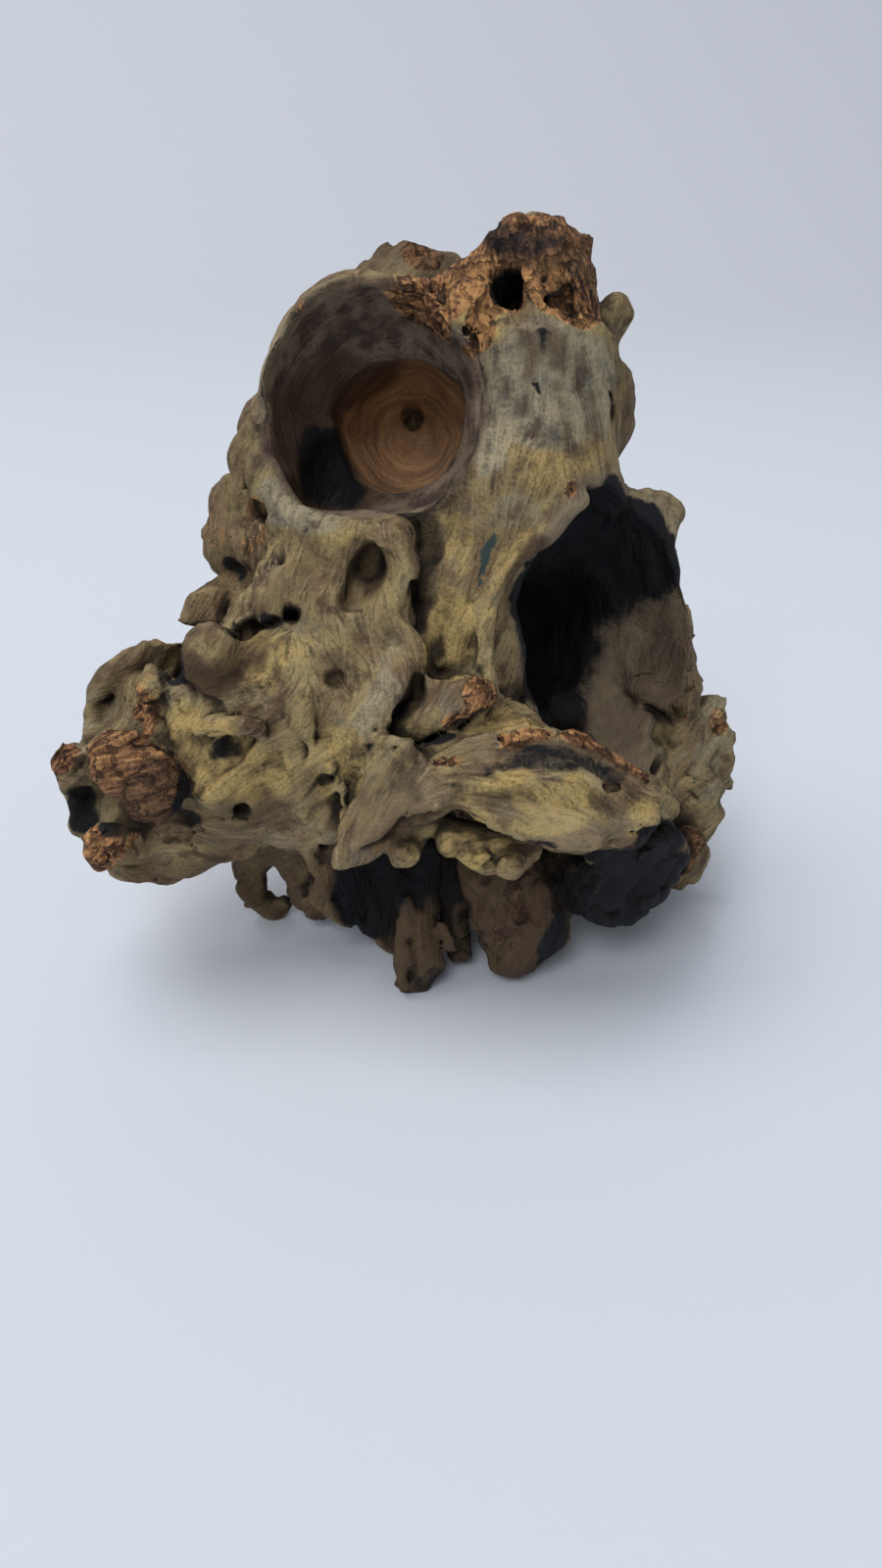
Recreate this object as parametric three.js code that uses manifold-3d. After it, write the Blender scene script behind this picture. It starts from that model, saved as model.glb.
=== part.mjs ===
// A weathered piece of driftwood: a knotted root crown with a deep round bowl, a tall broken neck,
// a wide cave on the right and a thick arm whose end has rotted away. All sizes are millimetres,
// +Z is up, and the front of the piece faces -Y.
//
// The wood grew as one piece, so it is modelled as one solid. Its shape is a signed distance:
// lumps, limbs and flaps are blended together and hollows are blended away, in growing order,
// and the surface where the distance is zero is meshed and thinned to a usable count of triangles.
import * as THREE from 'three';
import { MarchingCubes } from 'three/addons/objects/MarchingCubes.js';
import { SimplifyModifier } from 'three/addons/modifiers/SimplifyModifier.js';
import { mergeVertices } from 'three/addons/utils/BufferGeometryUtils.js';
import Module from 'manifold-3d';

// Driving dimensions
const GRID_STEP = 1.7;                 // distance between two samples of the shape
const GRID_COUNT = 118;                // samples along each side of the cube
const GRID_CORNER = [-95, -100, -9];   // lowest corner of the cube
const TARGET_TRIANGLES = 10800;        // after thinning, before the feet are cut flat
const CENTRE = [3.35, 0.95, 0];          // middle of the box's floor, moved to the origin at the end
const PINCH_GAP = 0.05;                // how far two pinched points are moved apart
const FLOOR_BOX = 400;                 // side of the box that cuts the feet flat at z = 0
const WOOD_COLOUR = 0x7b6a48;

// Slow waves that bend every part a little: height, wavelength and phase
const WAVES = [[1.5, 47, 0.3], [0.9, 23, 1.7], [0.45, 11, 4.1]];
const WAVE_REACH = 5;

// Builders for the three kinds of part; a point of a limb or flap is x, y, z and radius
const grow = (part, blend) => ({ part, blend, sign: 1 });
const hollow = (part, blend) => ({ part, blend, sign: -1 });
const lump = (centre, radii, turn = [0, 0, 0]) => new Lump(centre, radii, turn);
const limb = (points) => new Limb(points);
const flap = (points) => new Flap(points);

// Distance from a point to a rounded cone between two points with radii
function coneDistance(x, y, z, a, b) {
  const dx = b[0] - a[0], dy = b[1] - a[1], dz = b[2] - a[2];
  const px = x - a[0], py = y - a[1], pz = z - a[2];
  const along = (px * dx + py * dy + pz * dz) / (dx * dx + dy * dy + dz * dz + 1e-9);
  const t = Math.min(1, Math.max(0, along));
  return Math.hypot(px - dx * t, py - dy * t, pz - dz * t) - (a[3] + (b[3] - a[3]) * t);
}

// Lowest and highest corner of balls given as x, y, z and radius
function ballBounds(points) {
  const low = [0, 1, 2].map((i) => Math.min(...points.map((p) => p[i] - p[3])));
  const high = [0, 1, 2].map((i) => Math.max(...points.map((p) => p[i] + p[3])));
  return [low, high];
}

// An ellipsoid with its own turn about x, y and z in degrees
class Lump {
  constructor(centre, radii, turn) {
    const angles = turn.map(THREE.MathUtils.degToRad);
    const euler = new THREE.Euler(...angles, 'ZYX');
    this.axes = new THREE.Matrix4().makeRotationFromEuler(euler).elements;
    this.centre = centre;
    this.radii = radii;
  }

  bounds() {
    const m = this.axes, r = this.radii;
    const reach = [0, 1, 2].map((i) => Math.hypot(m[i] * r[0], m[4 + i] * r[1], m[8 + i] * r[2]));
    return [this.centre.map((c, i) => c - reach[i]), this.centre.map((c, i) => c + reach[i])];
  }

  distance(x, y, z) {
    const m = this.axes, r = this.radii;
    const px = x - this.centre[0], py = y - this.centre[1], pz = z - this.centre[2];
    const u = (m[0] * px + m[1] * py + m[2] * pz) / r[0];
    const v = (m[4] * px + m[5] * py + m[6] * pz) / r[1];
    const w = (m[8] * px + m[9] * py + m[10] * pz) / r[2];
    const inside = Math.hypot(u, v, w);
    const slope = Math.hypot(u / r[0], v / r[1], w / r[2]) + 1e-6;
    return inside * (inside - 1) / slope;
  }
}

// A smooth branch through its points, four rounded cones to a span
class Limb {
  constructor(points) {
    this.points = points.length < 3 ? points : smoothed(points, 4);
  }

  bounds() {
    return ballBounds(this.points);
  }

  distance(x, y, z) {
    let least = Infinity;
    for (let i = 1; i < this.points.length; i++) {
      least = Math.min(least, coneDistance(x, y, z, this.points[i - 1], this.points[i]));
    }
    return least;
  }
}

// Catmull-Rom curve through the points, with the radius carried along
function smoothed(points, perSpan) {
  const extend = (p, q) => p.map((value, i) => 2 * value - q[i]);
  const last = points.length - 1;
  const all = [extend(points[0], points[1]), ...points, extend(points[last], points[last - 1])];
  const out = [];
  for (let i = 1; i < all.length - 2; i++) {
    const [a, b, c, d] = all.slice(i - 1, i + 3);
    for (let step = 0; step < perSpan; step++) {
      const t = step / perSpan;
      out.push(b.map((_, j) => 0.5 * (2 * b[j] + (c[j] - a[j]) * t
        + (2 * a[j] - 5 * b[j] + 4 * c[j] - d[j]) * t * t
        + (3 * b[j] - a[j] - 3 * c[j] + d[j]) * t * t * t)));
    }
  }
  out.push(all[all.length - 2]);
  return out.map(([x, y, z, r]) => [x, y, z, Math.max(r, 0.3)]);
}

// A thin sheet: a strip of triangles with half its thickness at each point
class Flap {
  constructor(points) {
    this.points = points;
    this.faces = points.slice(2).map((_, i) => new Facet(points[i], points[i + 1], points[i + 2]));
  }

  bounds() {
    return ballBounds(this.points);
  }

  distance(x, y, z) {
    const p = this.points;
    let least = Infinity;
    for (let i = 0; i + 1 < p.length; i++) {
      least = Math.min(least, coneDistance(x, y, z, p[i], p[i + 1]));
      if (i + 2 < p.length) least = Math.min(least, coneDistance(x, y, z, p[i], p[i + 2]));
    }
    for (const face of this.faces) least = Math.min(least, face.distance(x, y, z));
    return least;
  }
}

// One triangle of a flap; outside its edges the distance is left to the rounded cones
class Facet {
  constructor(a, b, c) {
    const [pa, pb, pc] = [a, b, c].map((p) => new THREE.Vector3(p[0], p[1], p[2]));
    this.origin = pa;
    this.sideB = pb.clone().sub(pa);
    this.sideC = pc.clone().sub(pa);
    this.normal = this.sideB.clone().cross(this.sideC).normalize();
    this.bb = this.sideB.dot(this.sideB);
    this.bc = this.sideB.dot(this.sideC);
    this.cc = this.sideC.dot(this.sideC);
    this.thickness = [a[3], b[3], c[3]];
  }

  distance(x, y, z) {
    const px = x - this.origin.x, py = y - this.origin.y, pz = z - this.origin.z;
    const b = px * this.sideB.x + py * this.sideB.y + pz * this.sideB.z;
    const c = px * this.sideC.x + py * this.sideC.y + pz * this.sideC.z;
    const area = this.bb * this.cc - this.bc * this.bc;
    const v = (this.cc * b - this.bc * c) / area;
    const w = (this.bb * c - this.bc * b) / area;
    if (v < 0 || w < 0 || v + w > 1) return Infinity;
    const height = Math.abs(px * this.normal.x + py * this.normal.y + pz * this.normal.z);
    const [ta, tb, tc] = this.thickness;
    return height - ((1 - v - w) * ta + v * tb + w * tc);
  }
}

// Trunk and root crown
const trunk = [
  grow(lump([16, 12, 54], [46, 36, 34]), 8),
  grow(lump([48, -2, 40], [30, 28, 22], [0, 10, 0]), 8),
  grow(lump([34, -24, 60], [34, 20, 13], [14, 14, 0]), 7),
  grow(lump([-20, -16, 56], [24, 24, 26]), 8),
  grow(limb([[0, 22, 132, 20], [3, 24, 104, 21], [8, 20, 80, 26]]), 8),
];

// Head of the bowl
const bowlHead = [
  grow(lump([-6, 10, 144], [28.5, 35, 28.5], [-14, 0, 0]), 8),
  grow(lump([3, 36, 166], [15, 12, 11], [0, 4, 0]), 5),
  grow(lump([4, 42, 144], [18, 13, 20]), 6),
];

// Body round the cave
const caveBody = [
  grow(lump([46, 12, 84], [31, 33, 40], [0, -14, 0]), 8),
  grow(limb([[66, 6, 102, 4], [70, 6, 90, 4.5], [74, 5, 77, 4.5], [76, 2, 64, 4.5]]), 4),
  grow(lump([65, 5, 103], [4, 6, 5]), 2),
  grow(lump([70, 6, 92], [4, 6, 5]), 2),
  grow(lump([75, 5, 79], [4, 6, 5]), 2),
  grow(lump([78, 2, 66], [4, 6, 6]), 2),
];

// Neck and crown
const neck = [
  grow(limb([[30, 5, 95, 24], [36, 6, 125, 20], [36, 9, 145, 17], [34, 12, 158, 15.5]]), 8),
  grow(limb([[33, 13, 157, 14.5], [33, 15, 167, 13.5], [32, 17, 172, 11]]), 4),
  grow(limb([[20, 12, 173, 3.6], [30, 15, 177, 4.2], [40, 17, 175, 4.2], [43, 17, 167, 4.5]]), 3),
  grow(limb([[2, 12, 167, 4.5], [10, 12, 168, 6], [20, 12, 169, 8]]), 4),
  grow(limb([[19, 3, 159, 3], [27, -0.5, 159, 3], [37, -1, 160, 3], [45, 3, 162, 3]]), 3),
  grow(limb([[24, 12, 178, 3.4], [27, 16, 181, 2.6]]), 2),
  grow(limb([[34, 14, 177, 3.6], [36, 17, 180.5, 2.4]]), 2),
  grow(limb([[42, 16, 175, 3.6], [44, 18, 178, 2.2]]), 2),
];

// Column between the bowl and the roots
const column = [
  grow(limb([[22, -4, 126, 14], [15, -9, 102, 15], [11, -15, 82, 16], [8, -20, 66, 16]]), 8),
];

// Left shoulder and arm
const shoulderAndArm = [
  grow(limb([[-14, 0, 116, 17], [-19, -9, 100, 19], [-26, -13, 80, 24]]), 8),
  grow(lump([-13, -22, 84], [14, 13, 26], [0, -8, 0]), 6),
  grow(lump([-46, -12, 62], [30, 25, 27]), 8),
  grow(lump([-42, -26, 64], [19, 16, 22], [0, 12, 0]), 5),
  grow(lump([-20, -30, 62], [13, 10, 22], [0, -6, 0]), 5),
  grow(lump([-71, -24, 53], [16, 16, 20], [0, 20, 0]), 6),
  grow(limb([[-44, -14, 44, 16], [-60, -22, 42, 15], [-70, -26, 40, 12]]), 5),
  grow(lump([-81, -29, 58], [8, 9, 7], [0, -20, 0]), 4),
];

// Left lobes
const leftLobes = [
  grow(lump([-40, 8, 112], [12, 13, 17], [0, 8, 0]), 5),
  grow(lump([-30, 4, 106], [14, 14, 16]), 6),
  grow(lump([-36, 10, 132], [6, 9, 11]), 4),
  grow(limb([[-32, 2, 139, 4], [-29, -7, 130, 6], [-24, -13, 122, 6], [-14, -16, 118, 6]]), 3),
  grow(limb([[-40, -2, 97, 5], [-48, -1, 96, 3.4], [-53, -1, 93, 2.4]]), 3),
];

// Knobs on the right
const rightKnobs = [
  grow(limb([[42, 20, 154, 6], [50, 21, 158, 5], [54, 22, 162, 4.2]]), 3),
  grow(lump([51, 22, 140], [8, 9, 15], [0, -8, 0]), 4),
  grow(limb([[56, 8, 112, 7], [63, 9, 116, 4.5], [69, 10, 113, 4]]), 4),
];

// Ridges down the back
const backRidges = [
  grow(limb([[52, 40, 116, 7], [54, 46, 84, 8], [46, 48, 50, 9], [38, 46, 16, 9]]), 6),
  grow(limb([[14, 46, 134, 8], [20, 46, 108, 8], [16, 46, 76, 9], [4, 44, 48, 10]]), 6),
  grow(limb([[-26, 30, 128, 8], [-20, 34, 104, 8], [-16, 36, 74, 9]]), 6),
];

// Hollows under the roots
const underHollows = [
  hollow(lump([6, 4, 6], [38, 34, 28]), 4),
  hollow(lump([-2, -34, 28], [19, 22, 19]), 3),
  hollow(lump([34, 54, 84], [7, 14, 26], [0, 8, 0]), 6),
  hollow(lump([0, 56, 92], [6, 14, 20], [0, -8, 0]), 6),
];

// Front leaf, fin and knobby strip
const frontLeaf = [
  grow(flap([[8, -47, 70, 2], [10, -50, 68, 2], [22, -44, 74, 4], [20, -53, 63, 3], [32, -42, 77, 4],
      [33, -55, 59, 2], [43, -40, 72, 5], [40, -53, 57, 4], [52, -36, 64, 5], [46, -51, 53, 4],
      [62, -32, 55, 5], [56, -47, 52, 4], [66, -32, 50, 4]]), 4),
  grow(lump([47, -39, 65], [7, 5, 6]), 3),
  grow(flap([[-15, -52, 46, 1.2], [-6, -37, 71, 5], [-2, -49, 55, 2.5], [8, -40, 70, 4],
      [10, -50, 61, 2.5], [15, -46, 63, 3]]), 4),
  grow(limb([[0, -43, 52, 3.5], [2, -49, 50, 3.8], [8, -47, 53, 3.5], [16, -48, 51, 4.5],
      [22, -49, 50, 6], [30, -46, 48, 5.5]]), 3),
];

// Burnt root
const burntRoot = [
  grow(lump([56, -26, 30], [16, 17, 15], [0, -12, 0]), 5),
  grow(lump([66, -30, 36], [7, 8, 8]), 4),
  grow(limb([[66, -14, 24, 8], [77, -16, 22, 6], [80, -17, 27, 5]]), 4),
];

// Broken stub
const brokenStub = [
  grow(limb([[-5, -32, 71, 6], [4, -34, 77, 7], [15, -35, 84, 6.5]]), 4),
];

// Fins on the right
const rightFins = [
  grow(flap([[64, 4, 58, 5], [80, 6, 62, 2], [91, 12, 60, 1.2], [76, 0, 50, 4], [92, 11, 50, 1.5],
      [76, -2, 40, 5], [90, 6, 40, 3], [76, -4, 30, 5], [89, 2, 28, 3]]), 3),
  grow(lump([81, 0, 33], [9, 10, 12]), 4),
  grow(lump([88, 4, 30], [5, 6, 6]), 2),
  hollow(lump([95, 9, 54], [5, 8, 3], [0, 30, 0]), 2),
  hollow(lump([84, 6, 66], [3, 8, 5], [0, 20, 0]), 2),
  hollow(lump([95, 4, 36], [5, 8, 2.5], [0, -20, 0]), 1.5),
];

// Feet
const feet = [
  grow(limb([[6, -24, 34, 6], [4, -33, 20, 4.6], [4, -39, 10, 6], [3, -41, 4, 5.5]]), 3),
  grow(limb([[12, -22, 30, 6], [13, -28, 14, 4], [14, -31, 5, 3.5]]), 3),
  grow(limb([[24, -30, 46, 10], [28, -32, 26, 12], [32, -32, 12, 11.5], [31, -33, 7, 8]]), 3),
  grow(limb([[-40, -14, 32, 7], [-45, -10, 14, 4.5], [-43, -9, 6, 4], [-38, -9, 2.5, 3.4],
      [-35, -10, 5, 2.5]]), 2),
  grow(flap([[-38, -14, 36, 5], [-16, -18, 34, 5], [-31, -13, 8, 2.5], [-18, -18, 12, 3],
      [-26, -14, 4, 2.5]]), 3),
  grow(flap([[-20, -36, 36, 3], [-18, -30, 20, 3], [-8, -22, 36, 4], [-12, -25, 10, 3],
      [2, -20, 30, 4], [-4, -25, 3, 3], [4, -26, 6, 3]]), 3),
  grow(limb([[-16, 32, 42, 17], [-25, 42, 18, 13], [-28, 45, 3, 9]]), 6),
  grow(limb([[30, 34, 40, 18], [36, 44, 16, 14], [40, 47, 3, 10]]), 6),
  grow(limb([[62, 14, 40, 14], [70, 18, 16, 9], [73, 19, 3, 6]]), 5),
  grow(flap([[-24, 38, 34, 6], [34, 42, 34, 7], [-14, 42, 6, 4], [16, 46, 16, 5], [6, 44, 2, 4]]), 5),
];

// Bowl
const bowl = [
  hollow(lump([-9, -18, 155], [32, 15, 36], [-28, 0, 0]), 1.5),
  hollow(lump([-7, -5, 145.5], [26, 25, 26.5], [-14, 0, 0]), 1.5),
  hollow(lump([1.4, 18, 134.5], [18, 25, 18.5], [-14, 0, 0]), 1.2),
  hollow(lump([-16, -1, 128], [11, 19, 11]), 2),
  hollow(limb([[17, -8, 144, 2.2], [18, -4, 144, 2.6]]), 1),
];

// Cave
const cave = [
  hollow(lump([53, -12, 90], [24, 32, 38], [0, -10, 0]), 2),
  hollow(limb([[46, 0, 86, 22], [36, 14, 78, 18]]), 3),
  hollow(lump([60, -18, 66], [14, 18, 12]), 3),
  hollow(limb([[31, -30, 114, 2.5], [28, -34, 101, 4], [27, -36, 88, 3]]), 1.5),
];

// Crown holes
const crownHoles = [
  hollow(limb([[24, -8, 173, 3.4], [26, 4, 171, 4.4], [30, 14, 164, 5]]), 3),
  hollow(limb([[37, -6, 169, 3], [38, 4, 167, 3]]), 2),
  grow(lump([17, 3, 165], [5.5, 6, 7], [0, 20, 0]), 3),
];

// Arm holes
const armEnd = [
  hollow(limb([[-58, -30, 94, 5], [-56, -20, 87, 5.5], [-50, -8, 80, 5]]), 1.5),
  grow(lump([-45, -27, 90], [7.5, 8, 7.5]), 1.2),
  grow(lump([-34, -26, 91], [5, 6, 6]), 1.5),
  hollow(lump([-41, -44, 74], [6, 8, 5], [0, -20, 0]), 2),
  hollow(lump([-39, -42, 57], [3, 5, 3]), 2),
  hollow(lump([-15, -38, 88], [3, 6, 3]), 2),
  hollow(limb([[-38, -26, 96, 3], [-31, -20, 96, 3.4], [-26, -18, 98, 2]]), 2),
  hollow(lump([-68, -34, 78], [8, 10, 6], [0, -24, 0]), 2),
  hollow(lump([-80, -40, 50], [8, 13, 13], [0, 20, 0]), 2),
  hollow(lump([-53, -44, 55], [4, 8, 6]), 2),
  hollow(lump([-62, -44, 58], [12, 6, 10]), 2),
  grow(lump([-68, -38, 67], [10, 9, 9], [0, 12, 0]), 1.5),
  grow(limb([[-66, -34, 45, 5.4], [-73, -46, 48, 5]]), 1.5),
  grow(limb([[-64, -14, 87, 3.2], [-72, -18, 80, 3], [-79, -21, 69, 2.6], [-83, -24, 62, 2.4]]), 2),
  grow(lump([-84, -31, 63], [4.5, 5, 5.5]), 1.5),
  hollow(lump([-66, -31, 79], [5, 7, 5.5], [0, -24, 0]), 1.2),
  hollow(lump([-57.5, -44, 65], [4, 8, 9], [0, 10, 0]), 1.5),
  hollow(limb([[-58, -45, 57, 2.5], [-54, -42, 52, 3.4]]), 1.2),
  hollow(limb([[-80, -41, 56, 3], [-83, -40, 49, 4], [-79, -43, 43, 3]]), 1.5),
  hollow(limb([[-46, -43, 69, 3], [-40, -43, 72.5, 3.4], [-36, -41, 75, 2.4]]), 1.6),
  hollow(limb([[-37, -31, 99.5, 2.2], [-30, -31, 101, 3.2], [-25, -28, 103, 2.4]]), 1.2),
];

// Fold and cleft beside the column
const foldAndCleft = [
  grow(limb([[-18, -15, 118, 4.5], [-7, -20, 120, 4], [-1, -23, 118, 4], [-3, -25, 110, 4],
      [-2, -28, 102, 5], [0, -29, 94, 6], [-1, -33, 86, 6], [-6, -37, 79, 6], [-9, -40, 70, 7]]), 5),
  hollow(limb([[5, -24, 121, 2], [4, -27, 113, 3], [5, -29, 104, 3.4], [6, -31, 94, 2.6],
      [4, -35, 86, 2.6], [1, -38, 80, 3], [-2, -42, 73, 3]]), 1.5),
  hollow(lump([-9, -27, 110], [4.5, 6, 7], [0, 20, 0]), 2),
  hollow(limb([[-6, -32, 103, 2], [-10, -32, 112, 3]]), 2),
  grow(limb([[-22, -19, 122, 2], [-14, -22, 121.5, 2.4], [-6, -25, 121, 2.6], [0, -27, 117.5, 2.6],
      [1.5, -29, 112, 2.4], [0, -30, 106, 2.2], [1.5, -32, 99, 2.4], [1.5, -36, 92, 2.6],
      [-2, -41, 84, 2.6], [-7, -45, 76, 2]]), 2),
  hollow(lump([-7, -24, 111.5], [4.2, 8, 5.5], [0, 14, 0]), 1.2),
  hollow(limb([[4.5, -26, 122, 1.5], [5, -27, 113, 2.2], [4.5, -29, 104, 3], [6, -32, 95, 2.4],
      [4, -38, 86, 2.6], [-1, -44, 78, 2]]), 1.2),
];

// Crest and panel beside the cave
const crestAndPanel = [
  grow(limb([[43, -12, 125, 1.6], [36, -16, 121, 2], [30, -19, 116, 2.2], [25, -21, 110, 2.4],
      [21.5, -23.5, 103, 2.6], [20, -28, 95, 2.6], [20, -31, 88, 2.2]]), 2.5),
  hollow(limb([[35, -20, 116, 2], [30, -21, 109, 3], [28, -23, 101, 3.4], [27, -26, 92, 3]]), 1.2),
];

// Stub end and crack below it
const stubEnd = [
  grow(flap([[12, -41, 74, 5], [20, -43, 74, 4], [20, -32, 82, 4], [31, -41, 76, 4], [33, -33, 73, 4],
      [44, -38, 69, 3.5]]), 3),
  grow(limb([[-3, -37, 74, 4], [8, -39, 80, 4.4], [17, -41, 86.5, 5]]), 1.6),
  hollow(limb([[25, -41, 85, 1.6], [19, -43.5, 83.5, 2.2], [13, -46.5, 80.5, 2.3],
      [6, -47.5, 77.5, 2], [0, -46.5, 75.5, 1.4]]), 0.8),
  hollow(limb([[1, -45, 87, 2], [8, -40, 91, 2.6], [13, -36, 96, 2.2]]), 1.5),
];

// Thin edges of the leaf and the fin
const thinEdges = [
  grow(flap([[9, -48, 73, 1], [11, -51, 69, 1.5], [18, -48, 78.5, 1], [18, -54, 69, 2],
      [29, -46, 81, 1], [29, -54, 69, 2.5], [37, -45, 79, 1], [37, -53, 67, 3], [44, -43.5, 76, 1],
      [45, -50, 64, 3], [52, -41, 70, 1.2], [54, -46, 60, 3], [59, -39, 64, 1.4],
      [61, -42, 56, 3]]), 1.6),
  grow(flap([[-20, -40, 35, 1], [-8, -43, 73, 3], [-10, -49, 46, 1], [2, -45, 71, 3],
      [-1, -53, 55, 1], [12, -53.5, 64, 1.4], [10, -46, 70, 3]]), 1.6),
];

// Growing order: later parts cover or cut the ones before
const growth = [
  ...trunk, ...bowlHead, ...caveBody, ...neck, ...column, ...shoulderAndArm, ...leftLobes,
  ...rightKnobs, ...backRidges, ...underHollows, ...frontLeaf, ...burntRoot, ...brokenStub,
  ...rightFins, ...feet, ...bowl, ...cave, ...crownHoles, ...armEnd, ...foldAndCleft,
  ...crestAndPanel, ...stubEnd, ...thinEdges,
];

// Place a sample is read from once the slow waves have bent it
function bent(x, y, z) {
  let dx = 0, dy = 0, dz = 0;
  WAVES.forEach(([height, length, phase], i) => {
    const w = 2 * Math.PI / length;
    dx += height * Math.sin(w * (0.8 * y + 0.6 * z) + phase + i)
      * Math.cos(w * (0.6 * z - 0.3 * x) + 2 * phase);
    dy += height * Math.sin(w * (0.7 * z + 0.7 * x) + 2 * phase + 1.3)
      * Math.cos(w * (0.5 * x - 0.4 * y) + phase);
    dz += height * Math.sin(w * (0.6 * x + 0.8 * y) + 3 * phase + 2.1)
      * Math.cos(w * (0.7 * y + 0.3 * z) + 3 * phase);
  });
  return [x + dx, y + dy, z + dz];
}

// Smooth minimum of two distances over a blend width
function blended(a, b, width) {
  const h = Math.max(width - Math.abs(a - b), 0) / width;
  return Math.min(a, b) - h * h * width * 0.25;
}

// The samples of the whole shape: distance below zero inside the wood
class Samples {
  constructor() {
    const count = GRID_COUNT ** 3;
    this.distances = new Float32Array(count).fill(60);
    this.places = new Float32Array(count * 3);
    this.eachSample([0, 0, 0], Array(3).fill(GRID_COUNT - 1), (at, x, y, z) => {
      this.places.set(bent(x, y, z), at * 3);
    });
  }

  // Calls back with the index and the place of every sample between two grid corners
  eachSample(from, to, visit) {
    for (let k = from[2]; k <= to[2]; k++) {
      for (let j = from[1]; j <= to[1]; j++) {
        for (let i = from[0]; i <= to[0]; i++) {
          const at = i + GRID_COUNT * (j + GRID_COUNT * k);
          visit(at, ...[i, j, k].map((n, axis) => GRID_CORNER[axis] + GRID_STEP * n));
        }
      }
    }
  }

  // Adds or takes away one part, only near it
  apply({ part, blend, sign }) {
    const [low, high] = part.bounds();
    const margin = blend + WAVE_REACH + 1;
    const cell = (value, axis) => Math.round((value - GRID_CORNER[axis]) / GRID_STEP);
    const from = low.map((v, axis) => Math.max(0, cell(v - margin, axis)));
    const to = high.map((v, axis) => Math.min(GRID_COUNT - 1, cell(v + margin, axis)));
    const { distances, places } = this;
    this.eachSample(from, to, (at) => {
      const d = part.distance(places[3 * at], places[3 * at + 1], places[3 * at + 2]);
      distances[at] = sign * blended(sign * distances[at], d, blend);
    });
  }

  // Samples reached from a start through steps between neighbours of one kind
  reached(start, belongs) {
    const seen = new Uint8Array(this.distances.length);
    const steps = [1, GRID_COUNT, GRID_COUNT ** 2].flatMap((s) => [s, -s]);
    const waiting = [start];
    seen[start] = 1;
    while (waiting.length) {
      const at = waiting.pop();
      for (const step of steps) {
        const next = at + step;
        if (next < 0 || next >= seen.length || seen[next] || !belongs(next)) continue;
        seen[next] = 1;
        waiting.push(next);
      }
    }
    return seen;
  }

  // Drops loose crumbs and fills bubbles, so one solid without a sealed hollow is left
  keepOneSolid() {
    const { distances } = this;
    const heart = distances.indexOf(distances.reduce((least, d) => Math.min(least, d), 0));
    const wood = this.reached(heart, (at) => distances[at] < 0);
    const air = this.reached(0, (at) => !wood[at]);
    for (let at = 0; at < distances.length; at++) {
      if (air[at]) distances[at] = Math.max(distances[at], 0.05);
      else distances[at] = Math.min(distances[at], -0.05);
    }
  }
}

// Surface of the samples as an indexed geometry in millimetres
function meshed(samples) {
  const cubes = new MarchingCubes(GRID_COUNT, new THREE.MeshStandardMaterial(), false, false, 200000);
  cubes.isolation = 0;
  samples.distances.forEach((d, at) => { cubes.field[at] = -d; });
  cubes.update();
  const used = cubes.positionArray.slice(0, 3 * cubes.count);
  const surface = new THREE.BufferGeometry();
  surface.setAttribute('position', new THREE.BufferAttribute(used, 3));
  const half = GRID_STEP * GRID_COUNT / 2;
  surface.scale(half, half, half);
  surface.translate(...GRID_CORNER.map((corner) => corner + half));
  return mergeVertices(surface, 1e-3);
}

// The same surface with about the wanted count of triangles
async function thinned(surface, triangles) {
  const vertices = surface.getAttribute('position').count;
  const remove = Math.round(vertices * (1 - triangles * 3 / surface.index.count));
  return new SimplifyModifier().modify(surface, remove);
}

// Turns a geometry into a solid that can be joined and cut
function solidFrom(wasm, geometry) {
  const bare = geometry.clone().deleteAttribute('normal').deleteAttribute('uv');
  const merged = mergeVertices(bare, 1e-3);
  return new wasm.Manifold(new wasm.Mesh({
    numProp: 3,
    vertProperties: merged.attributes.position.array,
    triVerts: new Uint32Array(merged.index.array),
  }));
}

// Turns a solid back into a geometry
function geometryFrom(solid) {
  const { vertProperties, triVerts } = solid.getMesh();
  const geometry = new THREE.BufferGeometry();
  geometry.setAttribute('position', new THREE.BufferAttribute(new Float32Array(vertProperties), 3));
  geometry.setIndex(new THREE.BufferAttribute(new Uint32Array(triVerts), 1));
  geometry.computeVertexNormals();
  return geometry;
}

// Cuts everything below the floor away, which leaves flat soles on the feet
function withFlatFeet(wasm, geometry) {
  const room = new THREE.BoxGeometry(FLOOR_BOX, FLOOR_BOX, FLOOR_BOX);
  room.translate(0, 0, FLOOR_BOX / 2);
  const cut = solidFrom(wasm, geometry).intersect(solidFrom(wasm, room));
  const pieces = cut.decompose().sort((a, b) => b.volume() - a.volume());
  return geometryFrom(pieces[0]);
}

// Thinning can pinch two parts of the surface together. A solid keeps a copy of a pinched point
// for each part, and here each copy moves a hair towards the middle of its own neighbours.
function unpinched(geometry) {
  const { position } = geometry.attributes;
  const index = geometry.index.array;
  const copies = new Map();
  for (let v = 0; v < position.count; v++) {
    const key = [position.getX(v), position.getY(v), position.getZ(v)].map((c) => c.toFixed(3)).join();
    copies.set(key, [...(copies.get(key) || []), v]);
  }
  const pinched = new Set([...copies.values()].filter((same) => same.length > 1).flat());
  for (const v of pinched) {
    const here = new THREE.Vector3().fromBufferAttribute(position, v);
    const middle = new THREE.Vector3();
    let count = 0;
    for (let i = 0; i < index.length; i++) {
      const corner = i - i % 3;
      const face = [index[corner], index[corner + 1], index[corner + 2]];
      if (index[i] === v || !face.includes(v)) continue;
      middle.add(new THREE.Vector3().fromBufferAttribute(position, index[i]));
      count += 1;
    }
    middle.divideScalar(count).sub(here).setLength(PINCH_GAP);
    position.setXYZ(v, here.x + middle.x, here.y + middle.y, here.z + middle.z);
  }
  return geometry;
}

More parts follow.
